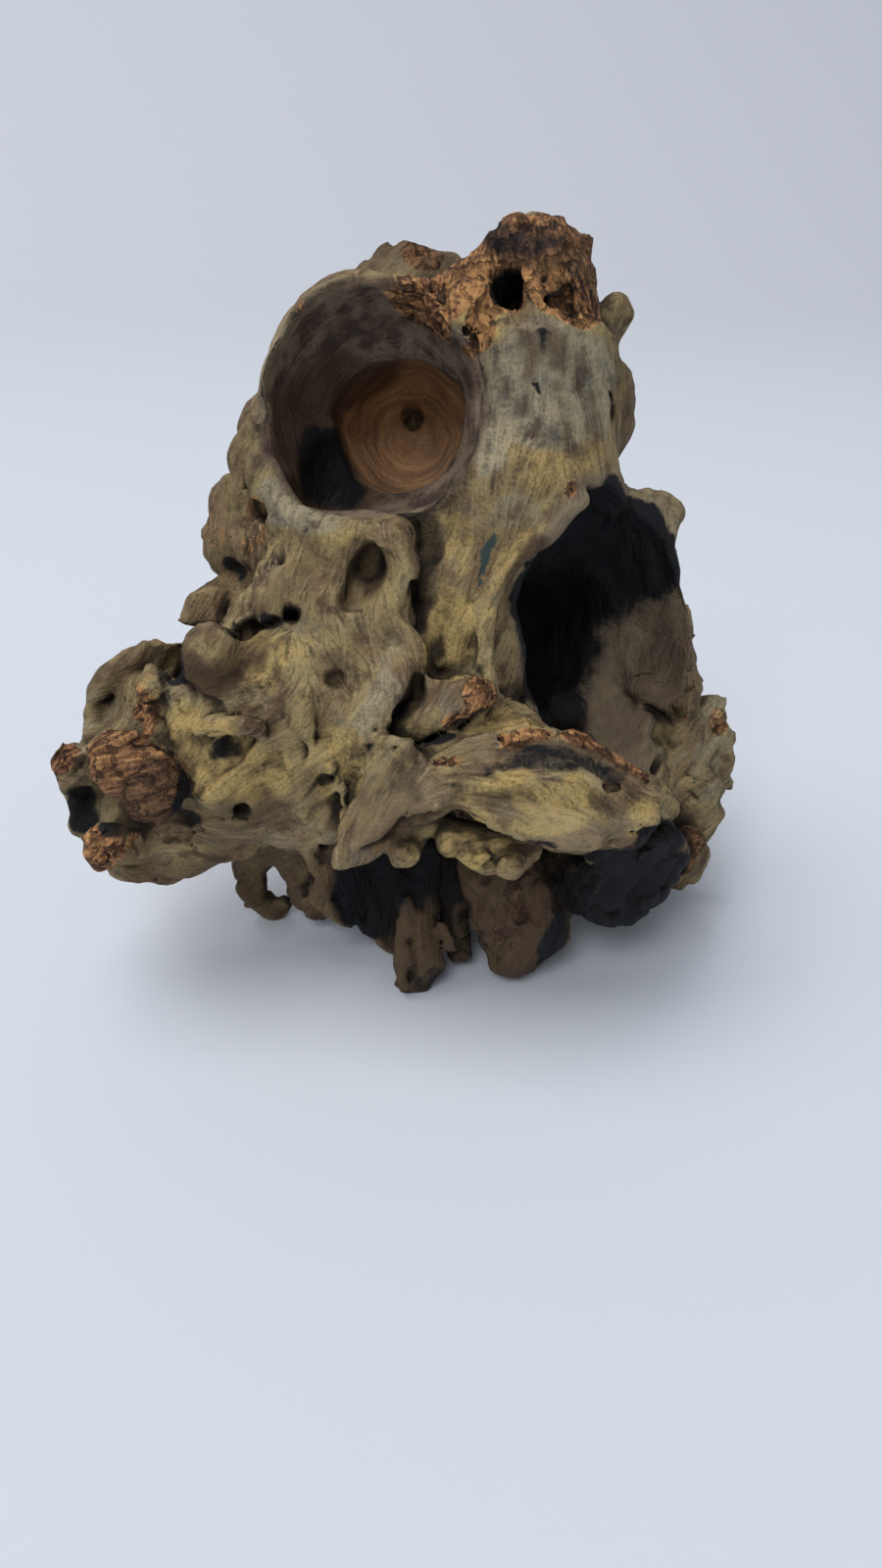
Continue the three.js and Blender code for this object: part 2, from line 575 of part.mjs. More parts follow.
// The finished object
async function driftwood() {
  const wasm = await Module();
  wasm.setup();
  const samples = new Samples();
  growth.forEach((step) => samples.apply(step));
  samples.keepOneSolid();
  const surface = await thinned(meshed(samples), TARGET_TRIANGLES);
  const geometry = unpinched(withFlatFeet(wasm, surface));
  geometry.translate(...CENTRE.map((c) => -c));
  const material = new THREE.MeshStandardMaterial({ color: WOOD_COLOUR, roughness: 0.9 });
  const mesh = new THREE.Mesh(geometry, material);
  mesh.name = 'driftwood';
  return mesh;
}

const root = new THREE.Group();
root.name = 'root';
root.add(await driftwood());
export default root;
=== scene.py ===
"""Looks of a weathered driftwood root knot with a round bowl, a broken neck, a cave and a rotten arm.

The wood is one closed skin. It is found where a field of distances, in millimetres, crosses zero. The
field blends the same turned lumps, limbs and flaps as the solid model, apart from the fin's blade, which
comes to a sharper point here. Then it adds what only weather makes: knots, pits, grain, cracks and rot.
Every form is written in the maker's own millimetres, with the ground at z = 0, and the finished skin is
moved to the model's place and turned to metres at the very end.
"""

import logging
import math
from dataclasses import dataclass, field
from enum import Enum
from typing import Iterable, Sequence, Union

import bpy
import numpy as np
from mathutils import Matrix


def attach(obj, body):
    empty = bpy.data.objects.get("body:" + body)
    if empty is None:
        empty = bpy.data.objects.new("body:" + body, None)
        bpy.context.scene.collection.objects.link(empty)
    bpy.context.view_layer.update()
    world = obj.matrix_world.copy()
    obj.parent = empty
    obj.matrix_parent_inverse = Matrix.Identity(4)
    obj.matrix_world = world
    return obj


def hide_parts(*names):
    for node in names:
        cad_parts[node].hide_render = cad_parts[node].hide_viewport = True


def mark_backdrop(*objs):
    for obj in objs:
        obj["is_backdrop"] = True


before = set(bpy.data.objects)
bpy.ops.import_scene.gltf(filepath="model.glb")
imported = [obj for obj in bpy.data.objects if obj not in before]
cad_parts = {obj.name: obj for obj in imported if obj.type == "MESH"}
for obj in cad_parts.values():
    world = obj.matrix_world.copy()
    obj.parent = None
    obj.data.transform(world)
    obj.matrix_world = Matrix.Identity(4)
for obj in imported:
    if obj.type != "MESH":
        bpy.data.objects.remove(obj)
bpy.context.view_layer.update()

LOG = logging.getLogger("driftwood")
Array = np.ndarray
Triple = tuple[float, float, float]

CENTRE_MM = (3.35, 0.95, 0.0)      # the middle of the solid's box in the maker's millimetres
GRID_LOW_MM = (-98.0, -66.0, -6.0)
GRID_HIGH_MM = (104.0, 64.0, 192.0)
SKIN_TRIANGLES = 188_000
SEED = 7
WAVES = ((1.5, 47, 0.3), (0.9, 23, 1.7), (0.45, 11, 4.1))      # size and length in mm, and phase


# Shapes and their distances


def turn_matrix(degrees: Triple) -> Array:
    """Rotation about X, then Y, then Z.

    Args:
        degrees: the three angles.

    Returns:
        A 3 by 3 matrix whose columns are the turned axes.
    """
    ax, ay, az = (math.radians(a) for a in degrees)
    about_x = np.array([[1, 0, 0], [0, math.cos(ax), -math.sin(ax)], [0, math.sin(ax), math.cos(ax)]])
    about_y = np.array([[math.cos(ay), 0, math.sin(ay)], [0, 1, 0], [-math.sin(ay), 0, math.cos(ay)]])
    about_z = np.array([[math.cos(az), -math.sin(az), 0], [math.sin(az), math.cos(az), 0], [0, 0, 1]])
    return about_z @ about_y @ about_x


def cone_distance(points: Sequence[Array], start: Array, end: Array) -> Array:
    """Distance to a round cone: the distance to the axis, less a radius that changes evenly along it.

    Args:
        points: the x, y and z arrays.
        start: x, y, z and radius at one end.
        end: x, y, z and radius at the other end.

    Returns:
        The signed distances in millimetres.
    """
    axis = (end[:3] - start[:3]).astype(np.float32)
    square = float(axis @ axis) + 1e-9
    away = [points[i] - np.float32(start[i]) for i in range(3)]
    along = (away[0] * axis[0] + away[1] * axis[1] + away[2] * axis[2]) / np.float32(square)
    np.clip(along, 0, 1, out=along)
    gap = sum((away[i] - axis[i] * along) ** 2 for i in range(3))
    return np.sqrt(gap) - (np.float32(start[3]) + np.float32(end[3] - start[3]) * along)


@dataclass(frozen=True)
class Lump:
    """A turned ellipsoid."""

    centre: Triple
    radii: Triple
    turn: Triple = (0.0, 0.0, 0.0)

    def reach(self) -> tuple[Array, Array]:
        """Lowest and highest corner of the lump's own box."""
        half = np.sqrt(((turn_matrix(self.turn) * np.array(self.radii, float)) ** 2).sum(1))
        return np.array(self.centre) - half, np.array(self.centre) + half

    def distance(self, points: Sequence[Array]) -> Array:
        """Distance, worked out as k0 (k0 - 1) / k1.

        k0 is the length of the point over the radii, and k1 that of the point over their squares.

        Args:
            points: the x, y and z arrays.

        Returns:
            The signed distances in millimetres.
        """
        axes = turn_matrix(self.turn).astype(np.float32)
        away = [points[i] - np.float32(self.centre[i]) for i in range(3)]
        own = [axes[0, i] * away[0] + axes[1, i] * away[1] + axes[2, i] * away[2] for i in range(3)]
        k0 = np.sqrt(sum((own[i] / self.radii[i]) ** 2 for i in range(3)))
        k1 = np.sqrt(sum((own[i] / self.radii[i] ** 2) ** 2 for i in range(3))) + 1e-6
        return (k0 * (k0 - 1) / k1).astype(np.float32)


@dataclass(frozen=True)
class Limb:
    """A round branch along a smooth curve through knots of x, y, z and radius."""

    knots: Sequence[tuple[float, float, float, float]]
    per_span: int = 4

    def course(self) -> Array:
        """Points on the Catmull-Rom curve through the knots.

        A span between knots b and c is half of 2b + (c - a) t + (2a - 5b + 4c - d) t^2 plus
        (3b - a - 3c + d) t^3, with t from 0 to 1.

        Returns:
            N by 4: x, y, z and radius.
        """
        knots = np.array(self.knots, float)
        if len(knots) < 3:
            return knots
        ring = np.vstack([2 * knots[0] - knots[1], knots, 2 * knots[-1] - knots[-2]])
        a, b, c, d = ring[:-3, None], ring[1:-2, None], ring[2:-1, None], ring[3:, None]
        t = (np.arange(self.per_span) / self.per_span)[None, :, None]
        spans = 0.5 * (2 * b + (c - a) * t + (2 * a - 5 * b + 4 * c - d) * t**2
                       + (3 * b - a - 3 * c + d) * t**3)
        course = np.vstack([spans.reshape(-1, 4), knots[-1]])
        course[:, 3] = np.maximum(course[:, 3], 0.3)
        return course

    def reach(self) -> tuple[Array, Array]:
        """Lowest and highest corner of the limb's own box."""
        course = self.course()
        return (course[:, :3] - course[:, 3:]).min(0), (course[:, :3] + course[:, 3:]).max(0)

    def distance(self, points: Sequence[Array]) -> Array:
        """Least distance to the round cones between the points of the course.

        Args:
            points: the x, y and z arrays.

        Returns:
            The signed distances in millimetres.
        """
        course = self.course()
        nearest = cone_distance(points, course[0], course[1])
        for start, end in zip(course[1:-1], course[2:]):
            np.minimum(nearest, cone_distance(points, start, end), out=nearest)
        return nearest


@dataclass(frozen=True)
class Flap:
    """A thin leaf of wood: a strip of triangles, each corner with x, y, z and half its thickness."""

    strip: Sequence[tuple[float, float, float, float]]

    def reach(self) -> tuple[Array, Array]:
        """Lowest and highest corner of the flap's own box."""
        corners = np.array(self.strip, float)
        return (corners[:, :3] - corners[:, 3:]).min(0), (corners[:, :3] + corners[:, 3:]).max(0)

    def distance(self, points: Sequence[Array]) -> Array:
        """Least distance to the edges' round cones and, over a triangle, to its thick plane.

        Args:
            points: the x, y and z arrays.

        Returns:
            The signed distances in millimetres.
        """
        corners = np.array(self.strip, float)
        count = len(corners)
        nearest = np.full(np.broadcast(*points).shape, 1e3, np.float32)
        for first in range(count - 1):
            for other in (first + 1, first + 2):
                if other < count:
                    edge = cone_distance(points, corners[first], corners[other])
                    np.minimum(nearest, edge, out=nearest)
        for first in range(count - 2):
            a, b, c = corners[first:first + 3]
            side_b, side_c = b[:3] - a[:3], c[:3] - a[:3]
            normal = np.cross(side_b, side_c)
            size = np.linalg.norm(normal)
            if size < 1e-6:
                continue
            normal = normal / size
            away = [points[i] - np.float32(a[i]) for i in range(3)]
            on_b = sum(away[i] * np.float32(side_b[i]) for i in range(3))
            on_c = sum(away[i] * np.float32(side_c[i]) for i in range(3))
            bb, bc, cc = side_b @ side_b, side_b @ side_c, side_c @ side_c
            whole = bb * cc - bc * bc
            part_b = (cc * on_b - bc * on_c) / whole
            part_c = (bb * on_c - bc * on_b) / whole
            part_a = 1 - part_b - part_c
            height = np.abs(sum(away[i] * np.float32(normal[i]) for i in range(3)))
            plane = height - (part_a * a[3] + part_b * b[3] + part_c * c[3])
            inside = (part_a >= 0) & (part_b >= 0) & (part_c >= 0)
            nearest = np.where(inside, np.minimum(nearest, plane), nearest)
        return nearest.astype(np.float32)


Shape = Union[Lump, Limb, Flap]


class Join(Enum):
    """How a shape meets what is there already."""

    GROW = "grow"
    HOLLOW = "hollow"


@dataclass(frozen=True)
class Step:
    """One shape, how it joins, and over how many millimetres the two blend."""

    shape: Shape
    join: Join
    blend: float


def grow(shape: Shape, blend: float) -> Step:
    """A step that adds wood."""
    return Step(shape, Join.GROW, blend)


def hollow(shape: Shape, blend: float) -> Step:
    """A step that takes wood away."""
    return Step(shape, Join.HOLLOW, blend)


@dataclass(frozen=True)
class Sculpture:
    """The forms of the driftwood, in the order in which they grow and are hollowed, in millimetres."""

    def trunk(self) -> list[Step]:
        """The trunk and the root crown.

        Returns:
            The steps.
        """
        return [
            grow(Lump((16, 12, 54), (46, 36, 34)), 8),
            grow(Lump((48, -2, 40), (30, 28, 22), (0, 10, 0)), 8),
            grow(Lump((34, -24, 60), (34, 20, 13), (14, 14, 0)), 7),
            grow(Lump((-20, -16, 56), (24, 24, 26)), 8),
            grow(Limb([(0, 22, 132, 20), (3, 24, 104, 21), (8, 20, 80, 26)]), 8),
        ]

    def bowl_head(self) -> list[Step]:
        """The head that holds the bowl, and the shelf behind it.

        Returns:
            The steps.
        """
        return [
            grow(Lump((-6, 10, 144), (28.5, 35, 28.5), (-14, 0, 0)), 8),
            grow(Lump((3, 36, 166), (15, 12, 11), (0, 4, 0)), 5),
            grow(Lump((4, 42, 144), (18, 13, 20)), 6),
        ]

    def cave_body(self) -> list[Step]:
        """The body round the cave and its thin, bumpy right wall.

        Returns:
            The steps.
        """
        return [
            grow(Lump((46, 12, 84), (31, 33, 40), (0, -14, 0)), 8),
            grow(Limb([(66, 6, 102, 4), (70, 6, 90, 4.5), (74, 5, 77, 4.5), (76, 2, 64, 4.5)]), 4),
            grow(Lump((65, 5, 103), (4, 6, 5)), 2),
            grow(Lump((70, 6, 92), (4, 6, 5)), 2),
            grow(Lump((75, 5, 79), (4, 6, 5)), 2),
            grow(Lump((78, 2, 66), (4, 6, 6)), 2),
        ]

    def neck(self) -> list[Step]:
        """The upright neck with its ragged crown and the lip below it.

        Returns:
            The steps.
        """
        return [
            grow(Limb([(30, 5, 95, 24), (36, 6, 125, 20), (36, 9, 145, 17), (34, 12, 158, 15.5)]), 8),
            grow(Limb([(33, 13, 157, 14.5), (33, 15, 167, 13.5), (32, 17, 172, 11)]), 4),
            grow(Limb([(20, 12, 173, 3.6), (30, 15, 177, 4.2), (40, 17, 175, 4.2), (43, 17, 167, 4.5)]), 3),
            grow(Limb([(2, 12, 167, 4.5), (10, 12, 168, 6), (20, 12, 169, 8)]), 4),
            grow(Limb([(19, 3, 159, 3), (27, -0.5, 159, 3), (37, -1, 160, 3), (45, 3, 162, 3)]), 3),
            grow(Limb([(24, 12, 178, 3.4), (27, 16, 181, 2.6)]), 2),
            grow(Limb([(34, 14, 177, 3.6), (36, 17, 180.5, 2.4)]), 2),
            grow(Limb([(42, 16, 175, 3.6), (44, 18, 178, 2.2)]), 2),
        ]

    def column(self) -> list[Step]:
        """The column between the bowl and the roots.

        Returns:
            The steps.
        """
        return [
            grow(Limb([(22, -4, 126, 14), (15, -9, 102, 15), (11, -15, 82, 16), (8, -20, 66, 16)]), 8),
        ]

    def shoulder_and_arm(self) -> list[Step]:
        """The shoulder and the thick arm at the lower left.

        Returns:
            The steps.
        """
        return [
            grow(Limb([(-14, 0, 116, 17), (-19, -9, 100, 19), (-26, -13, 80, 24)]), 8),
            grow(Lump((-13, -22, 84), (14, 13, 26), (0, -8, 0)), 6),
            grow(Lump((-46, -12, 62), (30, 25, 27)), 8),
            grow(Lump((-42, -26, 64), (19, 16, 22), (0, 12, 0)), 5),
            grow(Lump((-20, -30, 62), (13, 10, 22), (0, -6, 0)), 5),
            grow(Lump((-71, -24, 53), (16, 16, 20), (0, 20, 0)), 6),
            grow(Limb([(-44, -14, 44, 16), (-60, -22, 42, 15), (-70, -26, 40, 12)]), 5),
            grow(Lump((-81, -29, 58), (8, 9, 7), (0, -20, 0)), 4),
        ]

    def left_lobes(self) -> list[Step]:
        """The fluted lobes on the left.

        Returns:
            The steps.
        """
        return [
            grow(Lump((-40, 8, 112), (12, 13, 17), (0, 8, 0)), 5),
            grow(Lump((-30, 4, 106), (14, 14, 16)), 6),
            grow(Lump((-36, 10, 132), (6, 9, 11)), 4),
            grow(Limb([(-32, 2, 139, 4), (-29, -7, 130, 6), (-24, -13, 122, 6), (-14, -16, 118, 6)]), 3),
            grow(Limb([(-40, -2, 97, 5), (-48, -1, 96, 3.4), (-53, -1, 93, 2.4)]), 3),
        ]

    def right_knobs(self) -> list[Step]:
        """The knobs on the right of the neck and beside the cave.

        Returns:
            The steps.
        """
        return [
            grow(Limb([(42, 20, 154, 6), (50, 21, 158, 5), (54, 22, 162, 4.2)]), 3),
            grow(Lump((51, 22, 140), (8, 9, 15), (0, -8, 0)), 4),
            grow(Limb([(56, 8, 112, 7), (63, 9, 116, 4.5), (69, 10, 113, 4)]), 4),
        ]

    def back_ridges(self) -> list[Step]:
        """The ridges down the back.

        Returns:
            The steps.
        """
        return [
            grow(Limb([(52, 40, 116, 7), (54, 46, 84, 8), (46, 48, 50, 9), (38, 46, 16, 9)]), 6),
            grow(Limb([(14, 46, 134, 8), (20, 46, 108, 8), (16, 46, 76, 9), (4, 44, 48, 10)]), 6),
            grow(Limb([(-26, 30, 128, 8), (-20, 34, 104, 8), (-16, 36, 74, 9)]), 6),
        ]

    def under_hollows(self) -> list[Step]:
        """The hollows under the roots and in the back.

        Returns:
            The steps.
        """
        return [
            hollow(Lump((6, 4, 6), (38, 34, 28)), 4),
            hollow(Lump((-2, -34, 28), (19, 22, 19)), 3),
            hollow(Lump((34, 54, 84), (7, 14, 26), (0, 8, 0)), 6),
            hollow(Lump((0, 56, 92), (6, 14, 20), (0, -8, 0)), 6),
        ]

    def front_leaf(self) -> list[Step]:
        """The leaf, the fin and the knobby strip along the front.

        Returns:
            The steps.
        """
        return [
            grow(Flap([(8, -47, 70, 2), (10, -50, 68, 2), (22, -44, 74, 4), (20, -53, 63, 3),
                 (32, -42, 77, 4), (33, -55, 59, 2), (43, -40, 72, 5), (40, -53, 57, 4),
                 (52, -36, 64, 5), (46, -51, 53, 4), (62, -32, 55, 5), (56, -47, 52, 4),
                 (66, -32, 50, 4)]), 4),
            grow(Lump((47, -39, 65), (7, 5, 6)), 3),
            grow(Flap([(-15, -52, 46, 1.2), (-6, -37, 71, 5), (-2, -49, 55, 2.5), (8, -40, 70, 4),
                 (10, -50, 61, 2.5), (15, -46, 63, 3)]), 4),
            grow(Limb([(0, -43, 52, 3.5), (2, -49, 50, 3.8), (8, -47, 53, 3.5), (16, -48, 51, 4.5),
                 (22, -49, 50, 6), (30, -46, 48, 5.5)]), 3),
        ]

    def burnt_root(self) -> list[Step]:
        """The charred root at the lower right.

        Returns:
            The steps.
        """
        return [
            grow(Lump((56, -26, 30), (16, 17, 15), (0, -12, 0)), 5),
            grow(Lump((66, -30, 36), (7, 8, 8)), 4),
            grow(Limb([(66, -14, 24, 8), (77, -16, 22, 6), (80, -17, 27, 5)]), 4),
        ]

    def broken_stub(self) -> list[Step]:
        """The broken stub above the leaf.

        Returns:
            The steps.
        """
        return [
            grow(Limb([(-5, -32, 71, 6), (4, -34, 77, 7), (15, -35, 84, 6.5)]), 4),
        ]

    def right_fins(self) -> list[Step]:
        """The jagged fins at the right.

        Returns:
            The steps.
        """
        return [
            grow(Flap([(64, 4, 58, 5), (80, 6, 62, 2), (91, 12, 60, 1.2), (76, 0, 50, 4),
                 (92, 11, 50, 1.5), (76, -2, 40, 5), (90, 6, 40, 3), (76, -4, 30, 5), (89, 2, 28, 3)]), 3),
            grow(Lump((81, 0, 33), (9, 10, 12)), 4),
            grow(Lump((88, 4, 30), (5, 6, 6)), 2),
            hollow(Lump((95, 9, 54), (5, 8, 3), (0, 30, 0)), 2),
            hollow(Lump((84, 6, 66), (3, 8, 5), (0, 20, 0)), 2),
            hollow(Lump((95, 4, 36), (5, 8, 2.5), (0, -20, 0)), 1.5),
        ]

    def feet(self) -> list[Step]:
        """The root tips that the piece stands on.

        Returns:
            The steps.
        """
        return [
            grow(Limb([(6, -24, 34, 6), (4, -33, 20, 4.6), (4, -39, 10, 6), (3, -41, 4, 5.5)]), 3),
            grow(Limb([(12, -22, 30, 6), (13, -28, 14, 4), (14, -31, 5, 3.5)]), 3),
            grow(Limb([(24, -30, 46, 10), (28, -32, 26, 12), (32, -32, 12, 11.5), (31, -33, 7, 8)]), 3),
            grow(Limb([(-40, -14, 32, 7), (-45, -10, 14, 4.5), (-43, -9, 6, 4), (-38, -9, 2.5, 3.4),
                 (-35, -10, 5, 2.5)]), 2),
            grow(Flap([(-38, -14, 36, 5), (-16, -18, 34, 5), (-31, -13, 8, 2.5), (-18, -18, 12, 3),
                 (-26, -14, 4, 2.5)]), 3),
            grow(Flap([(-20, -36, 36, 3), (-18, -30, 20, 3), (-8, -22, 36, 4), (-12, -25, 10, 3),
                 (2, -20, 30, 4), (-4, -25, 3, 3), (4, -26, 6, 3)]), 3),
            grow(Limb([(-16, 32, 42, 17), (-25, 42, 18, 13), (-28, 45, 3, 9)]), 6),
            grow(Limb([(30, 34, 40, 18), (36, 44, 16, 14), (40, 47, 3, 10)]), 6),
            grow(Limb([(62, 14, 40, 14), (70, 18, 16, 9), (73, 19, 3, 6)]), 5),
            grow(Flap([(-24, 38, 34, 6), (34, 42, 34, 7), (-14, 42, 6, 4), (16, 46, 16, 5),
                 (6, 44, 2, 4)]), 5),
        ]

    def bowl(self) -> list[Step]:
        """The bowl, the dark pit in it and the slot by its rim.

        Returns:
            The steps.
        """
        return [
            hollow(Lump((-9, -18, 155), (32, 15, 36), (-28, 0, 0)), 1.5),
            hollow(Lump((-7, -5, 145.5), (26, 25, 26.5), (-14, 0, 0)), 1.5),
            hollow(Lump((1.4, 18, 134.5), (18, 25, 18.5), (-14, 0, 0)), 1.2),
            hollow(Lump((-16, -1, 128), (11, 19, 11)), 2),
            hollow(Limb([(17, -8, 144, 2.2), (18, -4, 144, 2.6)]), 1),
        ]

    def cave(self) -> list[Step]:
        """The cave and the crack beside it.

        Returns:
            The steps.
        """
        return [
            hollow(Lump((53, -12, 90), (24, 32, 38), (0, -10, 0)), 2),
            hollow(Limb([(46, 0, 86, 22), (36, 14, 78, 18)]), 3),
            hollow(Lump((60, -18, 66), (14, 18, 12)), 3),
            hollow(Limb([(31, -30, 114, 2.5), (28, -34, 101, 4), (27, -36, 88, 3)]), 1.5),
        ]

    def crown_holes(self) -> list[Step]:
        """The two holes and the notches in the crown.

        Returns:
            The steps.
        """
        return [
            hollow(Limb([(24, -8, 173, 3.4), (26, 4, 171, 4.4), (30, 14, 164, 5)]), 3),
            hollow(Limb([(37, -6, 169, 3), (38, 4, 167, 3)]), 2),
            grow(Lump((17, 3, 165), (5.5, 6, 7), (0, 20, 0)), 3),
        ]

    def arm_end(self) -> list[Step]:
        """The holes, knots and the rotten end of the arm.

        Returns:
            The steps.
        """
        return [
            hollow(Limb([(-58, -30, 94, 5), (-56, -20, 87, 5.5), (-50, -8, 80, 5)]), 1.5),
            grow(Lump((-45, -27, 90), (7.5, 8, 7.5)), 1.2),
            grow(Lump((-34, -26, 91), (5, 6, 6)), 1.5),
            hollow(Lump((-41, -44, 74), (6, 8, 5), (0, -20, 0)), 2),
            hollow(Lump((-39, -42, 57), (3, 5, 3)), 2),
            hollow(Lump((-15, -38, 88), (3, 6, 3)), 2),
            hollow(Limb([(-38, -26, 96, 3), (-31, -20, 96, 3.4), (-26, -18, 98, 2)]), 2),
            hollow(Lump((-68, -34, 78), (8, 10, 6), (0, -24, 0)), 2),
            hollow(Lump((-80, -40, 50), (8, 13, 13), (0, 20, 0)), 2),
            hollow(Lump((-53, -44, 55), (4, 8, 6)), 2),
            hollow(Lump((-62, -44, 58), (12, 6, 10)), 2),
            grow(Lump((-68, -38, 67), (10, 9, 9), (0, 12, 0)), 1.5),
            grow(Limb([(-66, -34, 45, 5.4), (-73, -46, 48, 5)]), 1.5),
            grow(Limb([(-64, -14, 87, 3.2), (-72, -18, 80, 3), (-79, -21, 69, 2.6),
                 (-83, -24, 62, 2.4)]), 2),
            grow(Lump((-84, -31, 63), (4.5, 5, 5.5)), 1.5),
            hollow(Lump((-66, -31, 79), (5, 7, 5.5), (0, -24, 0)), 1.2),
            hollow(Lump((-57.5, -44, 65), (4, 8, 9), (0, 10, 0)), 1.5),
            hollow(Limb([(-58, -45, 57, 2.5), (-54, -42, 52, 3.4)]), 1.2),
            hollow(Limb([(-80, -41, 56, 3), (-83, -40, 49, 4), (-79, -43, 43, 3)]), 1.5),
            hollow(Limb([(-46, -43, 69, 3), (-40, -43, 72.5, 3.4), (-36, -41, 75, 2.4)]), 1.6),
            hollow(Limb([(-37, -31, 99.5, 2.2), (-30, -31, 101, 3.2), (-25, -28, 103, 2.4)]), 1.2),
        ]

    def fold_and_cleft(self) -> list[Step]:
        """The folded edge beside the column, its cleft and its pocket.

        Returns:
            The steps.
        """
        return [
            grow(Limb([(-18, -15, 118, 4.5), (-7, -20, 120, 4), (-1, -23, 118, 4), (-3, -25, 110, 4),
                 (-2, -28, 102, 5), (0, -29, 94, 6), (-1, -33, 86, 6), (-6, -37, 79, 6),
                 (-9, -40, 70, 7)]), 5),
            hollow(Limb([(5, -24, 121, 2), (4, -27, 113, 3), (5, -29, 104, 3.4), (6, -31, 94, 2.6),
                 (4, -35, 86, 2.6), (1, -38, 80, 3), (-2, -42, 73, 3)]), 1.5),
            hollow(Lump((-9, -27, 110), (4.5, 6, 7), (0, 20, 0)), 2),
            hollow(Limb([(-6, -32, 103, 2), (-10, -32, 112, 3)]), 2),
            grow(Limb([(-22, -19, 122, 2), (-14, -22, 121.5, 2.4), (-6, -25, 121, 2.6),
                 (0, -27, 117.5, 2.6), (1.5, -29, 112, 2.4), (0, -30, 106, 2.2), (1.5, -32, 99, 2.4),
                 (1.5, -36, 92, 2.6), (-2, -41, 84, 2.6), (-7, -45, 76, 2)]), 2),
            hollow(Lump((-7, -24, 111.5), (4.2, 8, 5.5), (0, 14, 0)), 1.2),
            hollow(Limb([(4.5, -26, 122, 1.5), (5, -27, 113, 2.2), (4.5, -29, 104, 3), (6, -32, 95, 2.4),
                 (4, -38, 86, 2.6), (-1, -44, 78, 2)]), 1.2),
        ]

    def crest_and_panel(self) -> list[Step]:
        """The pale crest on the right of the column and the sunk panel beside it.

        Returns:
            The steps.
        """
        return [
            grow(Limb([(43, -12, 125, 1.6), (36, -16, 121, 2), (30, -19, 116, 2.2), (25, -21, 110, 2.4),
                 (21.5, -23.5, 103, 2.6), (20, -28, 95, 2.6), (20, -31, 88, 2.2)]), 2.5),
            hollow(Limb([(35, -20, 116, 2), (30, -21, 109, 3), (28, -23, 101, 3.4),
                 (27, -26, 92, 3)]), 1.2),
        ]

    def stub_end(self) -> list[Step]:
        """The blunt end of the broken stub and the crack below it.

        Returns:
            The steps.
        """
        return [
            grow(Flap([(12, -41, 74, 5), (20, -43, 74, 4), (20, -32, 82, 4), (31, -41, 76, 4),
                 (33, -33, 73, 4), (44, -38, 69, 3.5)]), 3),
            grow(Limb([(-3, -37, 74, 4), (8, -39, 80, 4.4), (17, -41, 86.5, 5)]), 1.6),
            hollow(Limb([(25, -41, 85, 1.6), (19, -43.5, 83.5, 2.2), (13, -46.5, 80.5, 2.3),
                 (6, -47.5, 77.5, 2), (0, -46.5, 75.5, 1.4)]), 0.8),
            hollow(Limb([(1, -45, 87, 2), (8, -40, 91, 2.6), (13, -36, 96, 2.2)]), 1.5),
        ]

    def thin_edges(self) -> list[Step]:
        """The thin edges of the leaf, and the fin's pointed blade.

        Returns:
            The steps.
        """
        return [
            grow(Flap([(9, -48, 73, 1), (11, -51, 69, 1.5), (18, -48, 78.5, 1), (18, -54, 69, 2),
                 (29, -46, 81, 1), (29, -54, 69, 2.5), (37, -45, 79, 1), (37, -53, 67, 3),
                 (44, -43.5, 76, 1), (45, -50, 64, 3), (52, -41, 70, 1.2), (54, -46, 60, 3),
                 (59, -39, 64, 1.4), (61, -42, 56, 3)]), 1.6),
            grow(Flap([(-16.4, -52, 46.5, 1), (-12.6, -49, 58.1, 2), (-9.1, -53, 54.8, 1),
                 (-9.5, -47, 70.5, 2.5), (-0.5, -54.5, 62.4, 1.2), (-5.7, -45, 74.7, 2.5),
                 (7.7, -56, 66.7, 1.4), (4.8, -49, 76.3, 2.2), (12, -55, 67.2, 1.4),
                 (7.7, -52, 71.5, 2.2)]), 1.6),
        ]

